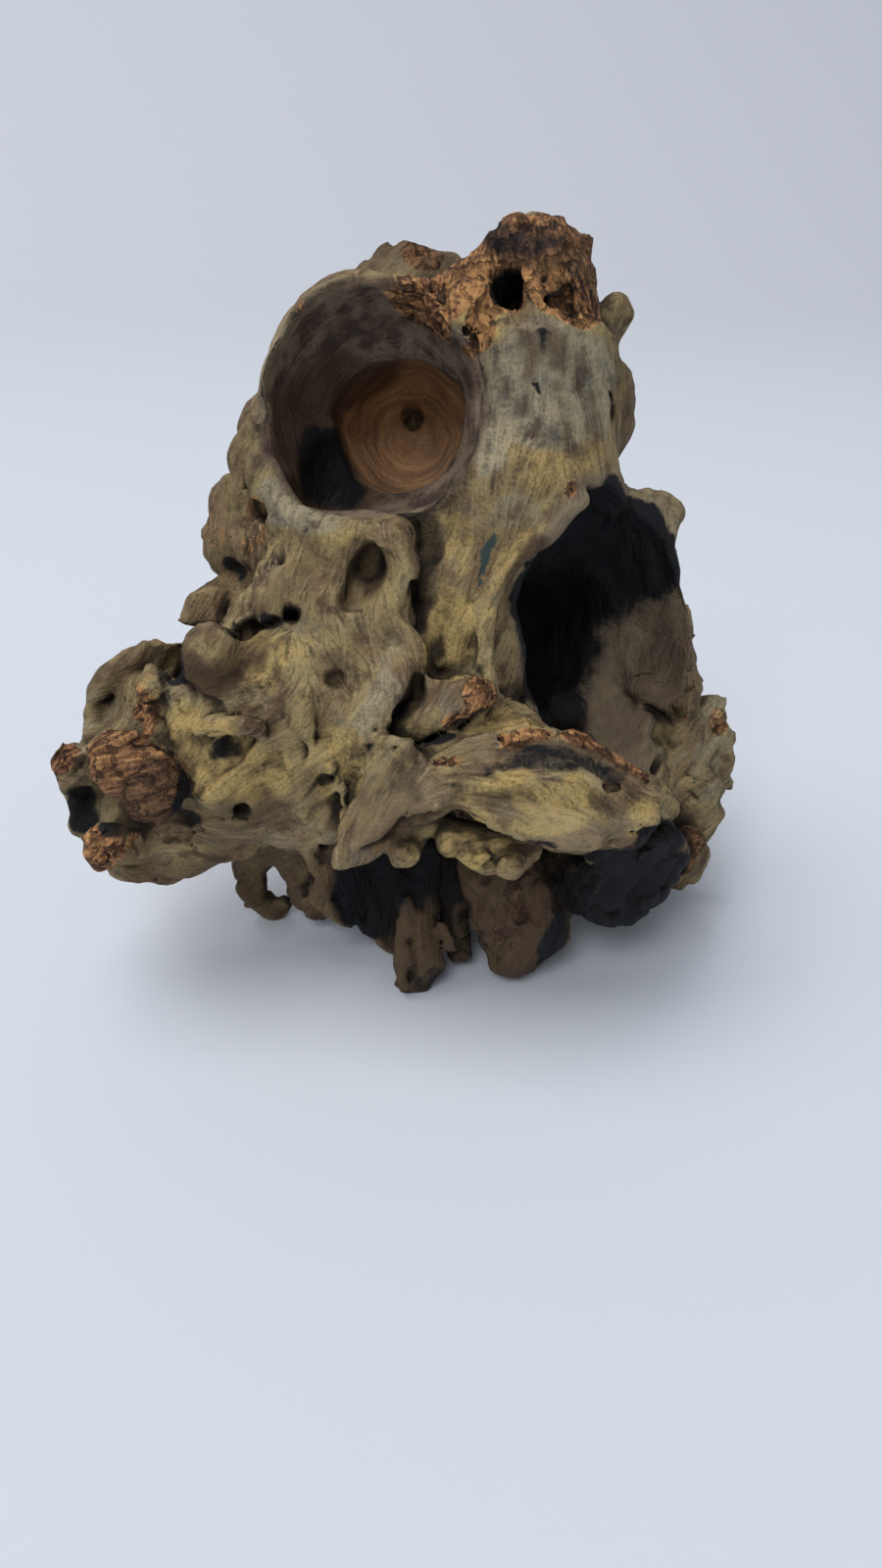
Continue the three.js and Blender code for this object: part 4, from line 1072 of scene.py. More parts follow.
@dataclass(frozen=True)
class WeatherAndShade:
    """Where the wood is rotten, charred, silvered, ochre or stained, and where shade is painted in black or
    umber, in millimetres.
    """

    rot: tuple[Union[Patch, Trail], ...] = (
        Patch((31, 10, 175), (18, 16, 13)),
        Patch((42, 10, 169), (9, 13, 10)),
        Patch((10, 8, 168), (13, 10, 10)),
        Patch((19, 3, 163), (5, 9, 8)),
        Patch((-68, -42, 69), (9, 10, 10)),
        Patch((-58, -40, 64), (7, 8, 9), 0.8),
        Patch((-85, -32, 64), (6, 7, 6)),
        Patch((-73, -48, 48), (6, 6, 6)),
        Patch((-66, -31, 77), (7, 7, 7), 0.9),
        Patch((20, -43, 90), (4.5, 6, 4.5)),
        Trail([(12, -46, 83.5, 1.0), (18, -46, 87.5, 2.0)], 0.8),
        Patch((-60, -43, 63), (9.5, 9, 12)),
        Patch((-63, -46, 53), (5, 6, 7), 0.9),
        Patch((-64, -36, 79), (8, 7, 5)),
        Trail([(9, -50.5, 73, 1.8), (15, -49.5, 75.5, 2.2), (25, -48, 78.5, 2.6), (35, -46, 80.5, 2.8),
               (42.5, -44, 77.5, 2.6), (51, -43, 72.5, 2.2), (57.8, -41, 66, 1.8)], 1.0),
        Patch((18, 5, 166), (6, 7, 8)),
        Trail([(33, -21, 123, 1.4), (38, -20.5, 127, 2.2), (44, -17, 130.5, 2.4)]),
        Patch((76, -20, 32), (6, 7, 8), 0.75),
        Trail([(73, -4, 100, 1.6), (78, -4, 86, 2), (81, -4, 72, 1.6)], 0.5),
        Trail([(76, 2, 76, 1.4), (77, 0, 68, 2), (75, -4, 62, 1.6)], 0.55),
        Patch((-8, -26, 110), (4, 6, 6), 0.4),
        Patch((-36, -6, 118), (4, 7, 12), 0.45),
        Patch((-46, -2, 116), (7, 9, 9), 0.42),
        Patch((-26, -6, 166), (9, 10, 6), 0.5),
        Patch((5, 31, 175), (5, 7, 5), 0.75),
        Trail([(2, -53, 57, 1.2), (9, -54, 62, 1.6)], 0.6),
        Patch((28, -44, 26), (5, 6, 14), 0.45),
        Trail([(16, -16, 128, 1.6), (20, -17, 132, 1.4)], 0.6),
        Patch((88, 4, 56), (5, 6, 5), 0.55),
    )
    # Real char on the burnt root, and black painted shade in the bowl's pit, the crown's and the arm's holes,
    # cracks, clefts and under the roots.
    char: tuple[Union[Patch, Trail], ...] = (
        Patch((58, -30, 30), (19, 20, 18)),
        Patch((60, -43, 46), (16, 9, 9)),
        Patch((-6, -22, 26), (18, 18, 20)),
        Patch((14, -22, 30), (28, 12, 18)),
        Patch((-17, 7, 128), (9, 15, 13), 0.75),
        Trail([(22, -45, 85.8, 1.0), (18.9, -46, 84, 1.5), (13, -46, 81, 1.5), (6, -46, 77.4, 1.2),
             (-1, -46, 76, 0.9)]),
        Trail([(4.5, -24, 122, 1.2), (5, -26, 112, 1.6), (5, -29, 100, 1.6), (4, -35, 88, 1.8),
               (-1, -41, 79, 1.8)], 0.8),
        Trail([(-5, -45, 80, 1.2), (-9.3, -47, 71, 1.2), (-13, -47, 58, 1.2)], 0.7),
        Trail([(20, -53, 72.5, 2.2), (27, -51, 74.5, 3.0), (35, -49.5, 75.5, 3.2), (43, -48, 72.5, 3.0),
               (50, -46, 68, 2.4)], 0.62),
        Patch((-31, -30, 101), (6, 6, 2.4), 0.8),
        Patch((-41.5, -38, 71), (4, 4, 2.4), 0.6),
        Trail([(33.5, -8, 166, 3.4), (33.5, -9, 158, 2.6), (33, -9, 150, 1.4)], 0.8),
        Trail([(26, -6, 165, 1.2), (26, -8, 158, 0.8)], 0.7),
        Trail([(22, -2, 165, 1.4), (30, -6, 166, 1.6), (38, -6, 166, 1.6), (45, -2, 165, 1.4)], 0.6),
        Patch((25.5, 9, 169), (5, 8, 4.4)),
        Patch((41, 7, 173), (3, 5, 3), 0.6),
        Patch((28, 10, 181), (12, 12, 4), 0.55),
        Patch((47, 8, 170), (2.4, 8, 8), 0.5),
        Patch((-53.5, -42, 61), (2.6, 5, 8), 0.8),
        Patch((-70, -46, 54), (3.4, 5, 3), 0.7),
        Patch((-82, -37, 49), (6, 10, 9)),
        Patch((-54, -28, 91), (5.5, 9, 7)),
        Patch((-54, -40, 52), (4, 6, 4), 0.9),
        Patch((-42, -40, 71), (5, 4, 3.5), 0.7),
        Patch((-40, -40, 55), (2, 4, 2)),
        Trail([(-36, -30, 99, 1.6), (-30, -31, 101, 2.4), (-25, -28, 103, 1.6)]),
        Patch((-42, -8, 104), (5, 9, 3.4), 0.9),
        Trail([(-52, 2, 122, 2), (-54, 2, 112, 2), (-52, 0, 104, 1.6)], 0.75),
        Trail([(-44, -4, 126, 1.4), (-44, -7, 116, 1.6)], 0.5),
        Patch((40, -40, 12), (6, 8, 12), 0.8),
        Trail([(18, -56, 64, 1), (25, -57.5, 61, 1.2), (33, -58, 57, 1.2), (43, -57, 54, 1.4),
               (52, -53, 50, 2)], 0.7),
        Patch((44, 0, 63), (7, 7, 6), 0.8),
        Trail([(21, -32, 86, 1), (25, -30, 84, 1.2), (30, -27, 85, 1)], 0.9),
        Trail([(34, -20, 128, 0.9), (40, -19.5, 130.5, 1.1), (46, -15, 131.5, 1.1)], 0.9),
        Trail([(58, -8, 122, 2.4), (64, -6, 112, 2), (69, -5, 102, 2)], 0.6),
        Patch((8, -44, 4), (6, 6, 6), 0.6),
    )
    # Umber painted shade in the bowl's pit, under the roots and the leaf, in clefts, pockets and holes, with
    # some dark brown wood.
    painted_shade_and_umber: tuple[Union[Patch, Trail], ...] = (
        Patch((-18, 5, 133), (15, 22, 22), 1.0),
        Patch((-12, 28, 146), (14, 20, 10), 0.8),
        Patch((4, -38, 14), (16, 18, 26), 1.0),
        Patch((28, -40, 18), (20, 20, 28), 1.0),
        Patch((-61, -43, 60), (9, 8, 12), 0.7),
        Patch((-2, -52, 62), (13, 8, 13), 0.55),
        Patch((14, -49, 79), (6, 5, 4), 0.5),
        Patch((-38, -36, 54), (14, 10, 8), 0.6),
        Patch((-10, -30, 30), (26, 20, 16), 0.8),
        Patch((-28, -14, 16), (28, 20, 20), 0.75),
        Patch((66, -28, 30), (24, 22, 22), 0.6),
        Trail([(35, -20, 117, 3), (30, -21, 109, 4), (28, -23, 101, 4.4), (27, -26, 92, 4)], 0.85),
        Patch((-7, -25, 111), (5, 7, 6), 0.9),
        Patch((-12, -14, 106), (14, 12, 12), 0.35),
        Patch((-26, -20, 100), (12, 12, 12), 0.5),
        Patch((70, 4, 74), (14, 14, 16), 0.55),
        Patch((4, 38, 170), (22, 14, 14), 0.7),
        Trail([(21, -51, 76, 1.4), (27, -49.5, 77.5, 2.0), (35, -48, 77.5, 2.2), (44, -46, 74, 2.2),
               (52, -44, 69, 2.0)], 0.75),
        Patch((-68, -40, 68), (10, 10, 10), 0.45),
        Patch((-57, -42, 62), (8, 8, 10), 0.6),
        Patch((33, -3, 158), (9, 6, 7), 0.55),
        Patch((36, 12, 176), (14, 14, 7), 0.35),
        Trail([(-48, -36, 36, 8), (-64, -34, 34, 8), (-78, -34, 40, 6)], 0.5),
        Patch((0, -42, 66), (8, 8, 6), 0.4),
        Patch((5, -30, 112), (2.6, 6, 13), 0.7),
        Patch((10, -44, 90), (6, 6, 5), 0.4),
        Patch((-45, -30, 91), (8.5, 9, 8.5), 1.0),
        Patch((-34, -30, 93), (5, 6, 5.5), 0.6),
        Patch((-44, 6, 116), (12, 14, 18), 0.45),
        Patch((-34, -4, 134), (8, 10, 10), 0.45),
        Patch((52, 18, 144), (9, 12, 18), 0.5),
        Patch((36, 12, 178), (16, 16, 5), 0.6),
        Patch((34, 8, 171), (5, 8, 6), 0.45),
        Patch((44, 1, 62), (7, 8, 7), 1.0),
        Patch((70, 2, 86), (10, 14, 20), 0.5),
        Patch((60, 0, 58), (14, 16, 6), 0.3),
        Patch((-74, -17, 76), (9, 8, 12), 0.45),
    )
    silver: tuple[Union[Patch, Trail], ...] = (
        Patch((36, -4, 150), (18, 18, 16)),
        Patch((4, 36, 168), (20, 14, 14), 0.5),
        Patch((-32, 0, 150), (12, 30, 26), 0.5),
        Patch((-78, -26, 62), (16, 16, 20), 0.5),
        Trail([(20, -52, 75, 1.6), (27, -50, 77, 2.0), (35, -48, 77, 2.2), (44, -46, 73, 2.2),
               (52, -44, 68, 2.2)], 0.5),
        Patch((88, 6, 46), (12, 16, 22), 0.6),
        Patch((8, -45, 6), (8, 8, 10), 0.5),
        Patch((-26, -20, 124), (14, 12, 7), 0.9),
        Patch((62, 10, 114), (14, 10, 10), 0.6),
        Patch((52, 24, 145), (12, 12, 24), 0.5),
        Patch((20, -14, 138), (5, 8, 8), 0.9),
        Patch((28, -17, 124), (10, 6, 5), 0.6),
        Trail([(0, -32, 98, 4), (-2, -40, 88, 5), (-9, -44, 82, 4)], 0.7),
        Patch((-44, -36, 84), (16, 8, 5), 0.6),
        Patch((-30, -38, 46), (16, 10, 8), 0.5),
        Patch((10, 50, 90), (60, 24, 60), 0.35),
    )
    ochre: tuple[Union[Patch, Trail], ...] = (
        Patch((-48, -38, 76), (12, 10, 8)),
        Patch((-40, -42, 66), (14, 8, 10)),
        Patch((-60, -34, 84), (8, 8, 5), 0.6),
        Patch((-32, -32, 94), (12, 8, 6), 0.7),
        Patch((-14, -44, 68), (9, 8, 14), 0.7),
        Patch((34, -55, 66), (20, 6, 8)),
        Patch((56, -45, 58), (8, 6, 6), 0.8),
        Patch((24, -42, 80), (9, 6, 5), 0.8),
        Patch((16, -52, 51), (16, 6, 6), 0.85),
        Patch((11, -30, 98), (7, 9, 17), 0.9),
        Patch((-40, -36, 86), (12, 10, 7), 0.6),
        Patch((2, -40, 80), (8, 6, 6), 0.7),
        Trail([(37, -18, 122, 2), (25, -21, 111, 3), (20, -28, 95, 3), (20, -31, 88, 2)], 0.6),
        Patch((36, -10, 134), (14, 10, 8), 0.6),
        Patch((14, -20, 118), (6, 6, 8), 0.6),
        Patch((-8, -49, 60), (8, 6, 12), 0.5),
        Patch((52, -26, 66), (14, 10, 8), 0.5),
        Patch((18, 3, 165), (8, 10, 10), 1.0),
        Patch((33, 5, 165), (5, 6, 5), 1.0),
        Patch((33, 4, 174), (6, 6, 4), 0.8),
        Patch((-14, -22, 119), (16, 8, 4), 0.6),
        Patch((-28, -14, 112), (8, 8, 6), 0.4),
    )
    stain: tuple[Union[Patch, Trail], ...] = (
        Trail([(26, -20, 121, 0.8), (23, -20, 117, 1.2), (21, -20, 113, 1.0), (18.5, -22, 108, 0.8)]),
        Trail([(9, -21, 111, 1.2), (10, -22, 108, 0.9)], 0.8),
        Patch((12.5, -28, 99), (2, 3, 1.8), 0.8),
    )

    def wander(self, points: Array) -> Array:
        """Points pushed up to 3 mm by smooth noise, so that the edge of a place is never a clean curve."""
        push = np.stack([layered_speckle(points / 9.0, 300 + i, 2) for i in range(3)], 1)
        return points + 6.0 * (push - 0.5)


# The field and the skin


def bend(x: Array, y: Array, z: Array) -> tuple[Array, Array, Array]:
    """Moves each point by slow waves, which bend every large form a little.

    Args:
        x: the points' x.
        y: the points' y.
        z: the points' z.

    Returns:
        The three moved arrays: each axis gains a sine times a cosine of mixed coordinates per wave.
    """
    dx = dy = dz = np.float32(0)
    for i, (size, length, phase) in enumerate(WAVES):
        w = 2 * math.pi / length
        dx = dx + (size * np.sin(w * (0.8 * y + 0.6 * z) + phase + i)
                   * np.cos(w * (0.6 * z - 0.3 * x) + 2 * phase))
        dy = dy + (size * np.sin(w * (0.7 * z + 0.7 * x) + 2 * phase + 1.3)
                   * np.cos(w * (0.5 * x - 0.4 * y) + phase))
        dz = dz + (size * np.sin(w * (0.6 * x + 0.8 * y) + 3 * phase + 2.1)
                   * np.cos(w * (0.7 * y + 0.3 * z) + 3 * phase))
    return tuple((a + d).astype(np.float32) for a, d in ((x, dx), (y, dy), (z, dz)))


@dataclass
class DistanceField:
    """Distances on an even grid, blended shape by shape."""

    low: Triple
    high: Triple
    step: float
    margin: float = 6.0
    nothing: float = 60.0
    values: Array = field(init=False, repr=False)

    def __post_init__(self) -> None:
        """Lays out the grid's points, plain and bent by the waves, and starts with no wood anywhere."""
        self.axes = [np.arange(lo, hi, self.step, dtype=np.float32) for lo, hi in zip(self.low, self.high)]
        x, y, z = np.meshgrid(*self.axes, indexing="ij")
        self.plain = (x, y, z)
        self.bent = bend(x, y, z)
        self.values = np.full(x.shape, self.nothing, np.float32)

    def block(self, step: Step) -> tuple[slice, ...]:
        """The part of the grid that a step can change: its shape's box, its blend and a margin.

        Args:
            step: the shape and its blend.

        Returns:
            One slice for each axis.
        """
        low, high = step.shape.reach()
        pad = step.blend + self.margin
        slices = []
        for i in range(3):
            first = max(0, int((low[i] - pad - self.low[i]) / self.step))
            last = min(len(self.axes[i]), int((high[i] + pad - self.low[i]) / self.step) + 2)
            slices.append(slice(first, max(first, last)))
        return tuple(slices)

    def apply(self, step: Step, places: tuple[Array, Array, Array]) -> None:
        """Blends one step in: min(a, b) - h^2 k / 4, with h = max(k - |a - b|, 0) / k.

        A hollow is the same blend on the distances turned round, which leaves what is outside the shape.

        Args:
            step: the shape, its join and its blend k.
            places: the grid's points, bent or plain.
        """
        part = self.block(step)
        sign = np.float32(1 if step.join is Join.GROW else -1)
        old = self.values[part] * sign
        new = step.shape.distance([place[part] for place in places])
        near = np.maximum(step.blend - np.abs(old - new), 0) / step.blend
        self.values[part] = sign * (np.minimum(old, new) - near * near * step.blend * np.float32(0.25))

    def sample(self, points: Array) -> Array:
        """Distance at free points, blended in a straight line between the eight corners of their cell.

        Args:
            points: N by 3 places in millimetres.

        Returns:
            N distances in millimetres.
        """
        shape = np.array(self.values.shape)
        at = np.clip((points - np.array(self.low, np.float32)) / self.step, 0, shape - 1.001)
        cell = at.astype(np.int32)
        part = (at - cell).astype(np.float32)
        total = np.zeros(len(points), np.float32)
        for corner in np.ndindex(2, 2, 2):
            weight = np.ones(len(points), np.float32)
            for i in range(3):
                weight = weight * (part[:, i] if corner[i] else 1 - part[:, i])
            spot = tuple(cell[:, i] + corner[i] for i in range(3))
            total += weight * self.values[spot]
        return total


def net_of_cells(values: Array) -> tuple[Array, Array]:
    """Skin of a field by surface nets, in grid units.

    A cell that the surface passes through gets one vertex, the mean of the places where its edges cross
    zero. Each grid edge that crosses zero gets one four-sided face through the four cells round it.

    Args:
        values: the distances on the grid, negative inside.

    Returns:
        The vertices (N by 3) and the faces (M by 4), which point outwards.
    """
    inside = values < 0
    shape = np.array(values.shape) - 1
    crossed = np.zeros(shape, bool)
    first = inside[:-1, :-1, :-1]
    for corner in np.ndindex(2, 2, 2):
        part = tuple(slice(c, c + n) for c, n in zip(corner, shape))
        crossed |= inside[part] != first
    cells = np.argwhere(crossed)
    number = np.full(shape, -1, np.int32)
    number[tuple(cells.T)] = np.arange(len(cells))
    total = np.zeros((len(cells), 3), np.float32)
    count = np.zeros(len(cells), np.float32)
    for axis in range(3):
        others = [i for i in range(3) if i != axis]
        for sides in np.ndindex(2, 2):
            start = cells.copy()
            start[:, others[0]] += sides[0]
            start[:, others[1]] += sides[1]
            end = start.copy()
            end[:, axis] += 1
            a = values[tuple(start.T)]
            b = values[tuple(end.T)]
            cross = (a < 0) != (b < 0)
            place = start.astype(np.float32)
            place[:, axis] += np.where(cross, a / np.where(a == b, 1, a - b), 0)
            total += np.where(cross[:, None], place, 0)
            count += cross
    vertices = total / count[:, None]
    faces = []
    for axis in range(3):
        u, v = [(1, 2), (2, 0), (0, 1)][axis]
        part_a = [slice(1, -1)] * 3
        part_b = [slice(1, -1)] * 3
        part_a[axis], part_b[axis] = slice(0, -1), slice(1, None)
        a, b = inside[tuple(part_a)], inside[tuple(part_b)]
        edges = np.argwhere(a != b)
        leaving = a[tuple(edges.T)]
        corner = edges + 1
        corner[:, axis] -= 1
        ring = []
        for du, dv in ((1, 1), (0, 1), (0, 0), (1, 0)):
            cell = corner.copy()
            cell[:, u] -= du
            cell[:, v] -= dv
            ring.append(number[tuple(cell.T)])
        ring = np.stack(ring, 1)
        faces.append(np.where(leaving[:, None], ring, ring[:, ::-1]))
    return vertices, np.vstack(faces)


def largest_piece(vertices: Array, faces: Array) -> tuple[Array, Array]:
    """Keeps the connected part with the most vertices, so that no loose crumb or bubble stays.

    Every vertex takes the lowest label among its neighbours, and each label then follows its own label,
    over and over, until nothing changes.

    Args:
        vertices: N by 3.
        faces: M by 4.

    Returns:
        The vertices and faces of that part, numbered anew.
    """
    label = np.arange(len(vertices))
    edges = np.vstack([faces[:, [0, 1]], faces[:, [1, 2]], faces[:, [2, 3]], faces[:, [3, 0]]])
    while True:
        before = label.copy()
        low = np.minimum(label[edges[:, 0]], label[edges[:, 1]])
        np.minimum.at(label, edges[:, 0], low)
        np.minimum.at(label, edges[:, 1], low)
        label = label[label]
        label = label[label]
        if np.array_equal(label, before):
            break
    names, counts = np.unique(label, return_counts=True)
    kept = label == names[counts.argmax()]
    number = np.cumsum(kept) - 1
    return vertices[kept], number[faces[kept[faces[:, 0]]]]


@dataclass(frozen=True)
class Relief:
    """What weather cut into the wood, in millimetres of depth."""

    swell: float = 0.2
    rib_depth: float = 2.4
    rib_width: float = 4.6
    grain_depth: float = 1.5
    grain_width: float = 2.2
    lump_depth: float = 1.8
    crack_depth: float = 1.1
    rot_depth: float = 2.4
    rot_level: float = 1.4
    crumble: float = 1.0
    lump_size: float = 12.0
    crack_spread: float = 11.0
    crumb_size: float = 3.2

    def depth(self, points: Array, along: Array, rot: Array, calm: Array) -> Array:
        """Depth that is cut away at each point.

        Ribs and grain are wide and narrow noise combed along the grain, creases lie where the wide noise
        crosses its middle, and rot adds fibres and crumbs. Calm places keep only a part of it.

        Args:
            points: N by 3 places in millimetres.
            along: N by 3 directions of the grain.
            rot: shares of rot.
            calm: shares of smooth wood, such as the inside of the bowl.

        Returns:
            N depths.
        """
        wide = combed(points, along, self.rib_width, 11)
        narrow = combed(points, along, self.grain_width, 23)
        lumps = layered_speckle(points / self.lump_size, 37, 2)
        somewhere = ease(0.42, 0.60, speckle(points / self.crack_spread, 43))
        crease = ease(0.80, 1.0, ridges(wide)) * somewhere
        crumbs = ridges(layered_speckle(points / self.crumb_size, 53, 2))
        plain = (self.rib_depth * (wide - 0.5) + self.grain_depth * (narrow - 0.5)
                 + self.crack_depth * crease + self.lump_depth * (lumps - 0.5))
        rotten = self.rot_depth * (1 - ridges(narrow)) + self.crumble * crumbs - self.rot_level
        depth = plain * (1 - 0.8 * calm)
        return depth * (1 - rot) + (depth * 0.6 + rotten) * rot - self.swell


@dataclass
class DriftwoodSkin:
    """The whole piece of wood as one closed skin, and the shares that dress it."""

    step: float = 0.9
    band: float = 3.6
    bowl_hollows: tuple[Shape, ...] = (
        Lump((-7, -5, 145.5), (26, 25, 26.5), (-14, 0, 0)),
        Lump((1.4, 18, 134.5), (18, 25, 18.5), (-14, 0, 0)),
    )
    bowl_mouth: Lump = Lump((-9, -18, 155), (32, 15, 36), (-28, 0, 0))
    bowl_wall: Lump = Lump((-6, 10, 144), (28.5, 35, 28.5), (-14, 0, 0))
    cave_hollows: tuple[Shape, ...] = (
        Lump((53, -12, 90), (24, 32, 38), (0, -10, 0)),
        Limb([(46, 0, 86, 22), (36, 14, 78, 18)]),
    )
    smooth_places: tuple[Patch, ...] = (
        Patch((37, -6, 140), (14, 14, 14), 0.6),
        Patch((32, -50, 69), (28, 10, 15), 0.8),
        Patch((-2, -52, 62), (14, 8, 16), 0.5),
    )
    crumbled_places: tuple[Patch, ...] = (
        Patch((58, -32, 30), (24, 24, 22), 0.85),
        Patch((12, -38, 16), (30, 18, 22), 0.5),
    )
    shade_reaches: Triple = (3.0, 8.0, 18.0)
    crease_reach: float = 2.0
    edge_reach: float = 3.0
    sculpture: Sculpture = Sculpture()
    grain: Grain = Grain()
    weather_and_shade: WeatherAndShade = WeatherAndShade()
    relief: Relief = Relief()

    @staticmethod
    def nearest(shapes: Iterable[Shape], points: Array) -> Array:
        """Least distance to any of the shapes, which are bent as the field bends them.

        Args:
            shapes: the shapes.
            points: N by 3 places in millimetres.

        Returns:
            N distances in millimetres.
        """
        columns = bend(*points.T)
        return np.minimum.reduce([shape.distance(columns) for shape in shapes])

    def inside_bowl(self, points: Array) -> Array:
        """Share of the bowl's inner wall: near the bowl's hollows, and behind its mouth.

        Args:
            points: N by 3 places in millimetres.

        Returns:
            N shares.
        """
        deep = ease(2.6, 1.2, self.nearest(self.bowl_hollows, points))
        return deep * ease(-3.0, 1.5, self.nearest([self.bowl_mouth], points))

    def outside_bowl(self, points: Array) -> Array:
        """Share of the bowl's thin outer wall, which hardly weathers away."""
        wall = np.abs(self.nearest([self.bowl_wall], points))
        return ease(5.0, 2.5, wall) * ease(112, 126, points[:, 2])

    def inside_cave(self, points: Array) -> Array:
        """Share of the cave's inner wall: near the cave's hollows, and behind its mouth."""
        return ease(3.4, 1.6, self.nearest(self.cave_hollows, points)) * ease(-32, -20, points[:, 1])

    def cave_painted_shade(self, points: Array, roaming: Array) -> Array:
        """Share of black painted shade in the cave: left, down to the floor, and above a slope that falls to
        the left.

        Args:
            points: N by 3 places in millimetres.
            roaming: the same places with ragged edges.

        Returns:
            N shares.
        """
        left = ease(66, 44, roaming[:, 0] + 0.35 * np.maximum(0, 74 - points[:, 2]))
        above = ease(64, 92, roaming[:, 2] - 0.9 * (roaming[:, 0] - 55))
        behind = ease(-26, -16, points[:, 1] - 0.6 * np.maximum(0, points[:, 2] - 106))
        return self.inside_cave(points) * np.maximum(left * ease(42, 52, points[:, 2]), above) * behind

    def carve(self) -> DistanceField:
        """Blends every form, cuts the relief into a narrow band at the surface, and levels the feet at z = 0.

        Returns:
            The finished field.
        """
        wood = DistanceField(GRID_LOW_MM, GRID_HIGH_MM, self.step)
        for step in self.sculpture.steps():
            wood.apply(step, wood.bent)
        for step in self.sculpture.details():
            wood.apply(step, wood.plain)
        del wood.bent, wood.plain
        close = np.abs(wood.values) < self.band
        spots = np.argwhere(close)
        points = (spots * self.step + np.array(wood.low)).astype(np.float32)
        bowl = self.inside_bowl(points)
        along = self.grain.along(points, bowl)
        rot = largest_share(self.weather_and_shade.rot, self.weather_and_shade.wander(points))
        feet = ease(6.0, 0.0, points[:, 2])
        calm = np.maximum(0.85 * bowl, 0.5 * self.inside_cave(points))
        calm = np.maximum(calm, 0.8 * self.outside_bowl(points))
        calm = np.maximum(calm, largest_share(self.smooth_places, points))
        crumbled = np.maximum(rot, largest_share(self.crumbled_places, points))
        depth = self.relief.depth(points, along, crumbled, np.maximum(calm, feet))
        wood.values[close] += depth
        wood.values = np.maximum(wood.values, -wood.axes[2][None, None, :] + np.float32(1e-4))
        return wood

    def build(self) -> bpy.types.Object:
        """Makes the skin: nets the field, keeps the one piece, thins flat areas and writes the shares.

        Returns:
            The piece, in metres, at the model's place.
        """
        wood = self.carve()
        vertices, faces = largest_piece(*net_of_cells(wood.values))
        vertices = vertices * self.step + np.array(wood.low, np.float32)
        LOG.info("skin: %d faces before thinning", len(faces))
        rough = mesh_from_arrays("driftwood_rough", vertices, faces)
        thin = rough.modifiers.new("thin", "DECIMATE")
        thin.ratio = SKIN_TRIANGLES / (2 * len(faces))
        thin.use_collapse_triangulate = True
        depsgraph = bpy.context.evaluated_depsgraph_get()
        mesh = bpy.data.meshes.new_from_object(rough.evaluated_get(depsgraph))
        bpy.data.objects.remove(rough)
        mesh.name = "driftwood_skin"
        skin = bpy.data.objects.new("driftwood_skin", mesh)
        bpy.context.scene.collection.objects.link(skin)
        mesh.polygons.foreach_set("use_smooth", np.ones(len(mesh.polygons), bool))
        self.write_shares(mesh, wood)
        points = read_vectors(mesh.vertices, "co")
        mesh.vertices.foreach_set("co", ((points - np.array(CENTRE_MM)) / 1000).astype(np.float32).ravel())
        mesh.update()
        LOG.info("skin: %d triangles", len(mesh.polygons))
        return skin

    def write_shares(self, mesh: bpy.types.Mesh, wood: DistanceField) -> None:
        """Writes the grain's direction and every share of weather and of painted shade to the mesh as point
        attributes.

        Shade in a hollow is how much nearer the wood is than 3, 8 and 18 mm straight out, and a crease is
        the same 2 mm out. Wear on an edge is how much nearer the air is than 3 mm straight in.

        Args:
            mesh: the skin, still in the maker's millimetres.
            wood: the finished field.
        """
        points = read_vectors(mesh.vertices, "co")
        normals = read_vectors(mesh.vertex_normals, "vector")
        bowl = self.inside_bowl(points)
        along = self.grain.along(points, bowl)
        along -= (along * normals).sum(1, keepdims=True) * normals * np.float32(0.85)
        put_attribute(mesh, "along", along)
        put_attribute(mesh, "ring", self.grain.ring_place(points))
        roaming = self.weather_and_shade.wander(points)
        put_attribute(mesh, "bowl", bowl)
        put_attribute(mesh, "cave", self.inside_cave(points))
        shares = {name: largest_share(getattr(self.weather_and_shade, name), roaming)
                  for name in ("rot", "char", "painted_shade_and_umber", "silver", "ochre", "stain")}
        # Black painted shade deep in the cave joins the share of char.
        shares["char"] = np.maximum(shares["char"], self.cave_painted_shade(points, roaming))
        for name, share in shares.items():
            put_attribute(mesh, name, share)
        shades = [np.clip(1 - wood.sample(points + normals * r) / r, 0, 1) for r in self.shade_reaches]
        put_attribute(mesh, "hollow", sum(shades) / len(shades))
        out, back = self.crease_reach, self.edge_reach
        put_attribute(mesh, "crease", np.clip(1 - wood.sample(points + normals * out) / out, 0, 1))
        put_attribute(mesh, "edge", np.clip(1 + wood.sample(points - normals * back) / back, 0, 1))


# Meshes


def mesh_from_arrays(name: str, vertices: Array, faces: Array) -> bpy.types.Object:
    """Puts whole arrays of vertices and equal-sided faces into a new object.

    Args:
        name: the object's name.
        vertices: N by 3.
        faces: M by 3 or M by 4 vertex numbers.

    Returns:
        The object, linked to the scene.
    """
    mesh = bpy.data.meshes.new(name)
    mesh.vertices.add(len(vertices))
    mesh.vertices.foreach_set("co", np.ascontiguousarray(vertices, np.float32).ravel())
    mesh.loops.add(faces.size)
    mesh.loops.foreach_set("vertex_index", np.ascontiguousarray(faces, np.int32).ravel())
    mesh.polygons.add(len(faces))
    mesh.polygons.foreach_set("loop_start", np.arange(0, faces.size, faces.shape[1], dtype=np.int32))
    mesh.update(calc_edges=True)
    mesh.validate()
    piece = bpy.data.objects.new(name, mesh)
    bpy.context.scene.collection.objects.link(piece)
    return piece


def read_vectors(rows: Iterable, name: str) -> Array:
    """Reads three numbers from each row of a Blender list into an N by 3 array.

    Args:
        rows: the list, such as a mesh's vertices.
        name: the property that is read.

    Returns:
        The array.
    """
    flat = np.zeros(len(rows) * 3, np.float32)
    rows.foreach_get(name, flat)
    return flat.reshape(-1, 3)


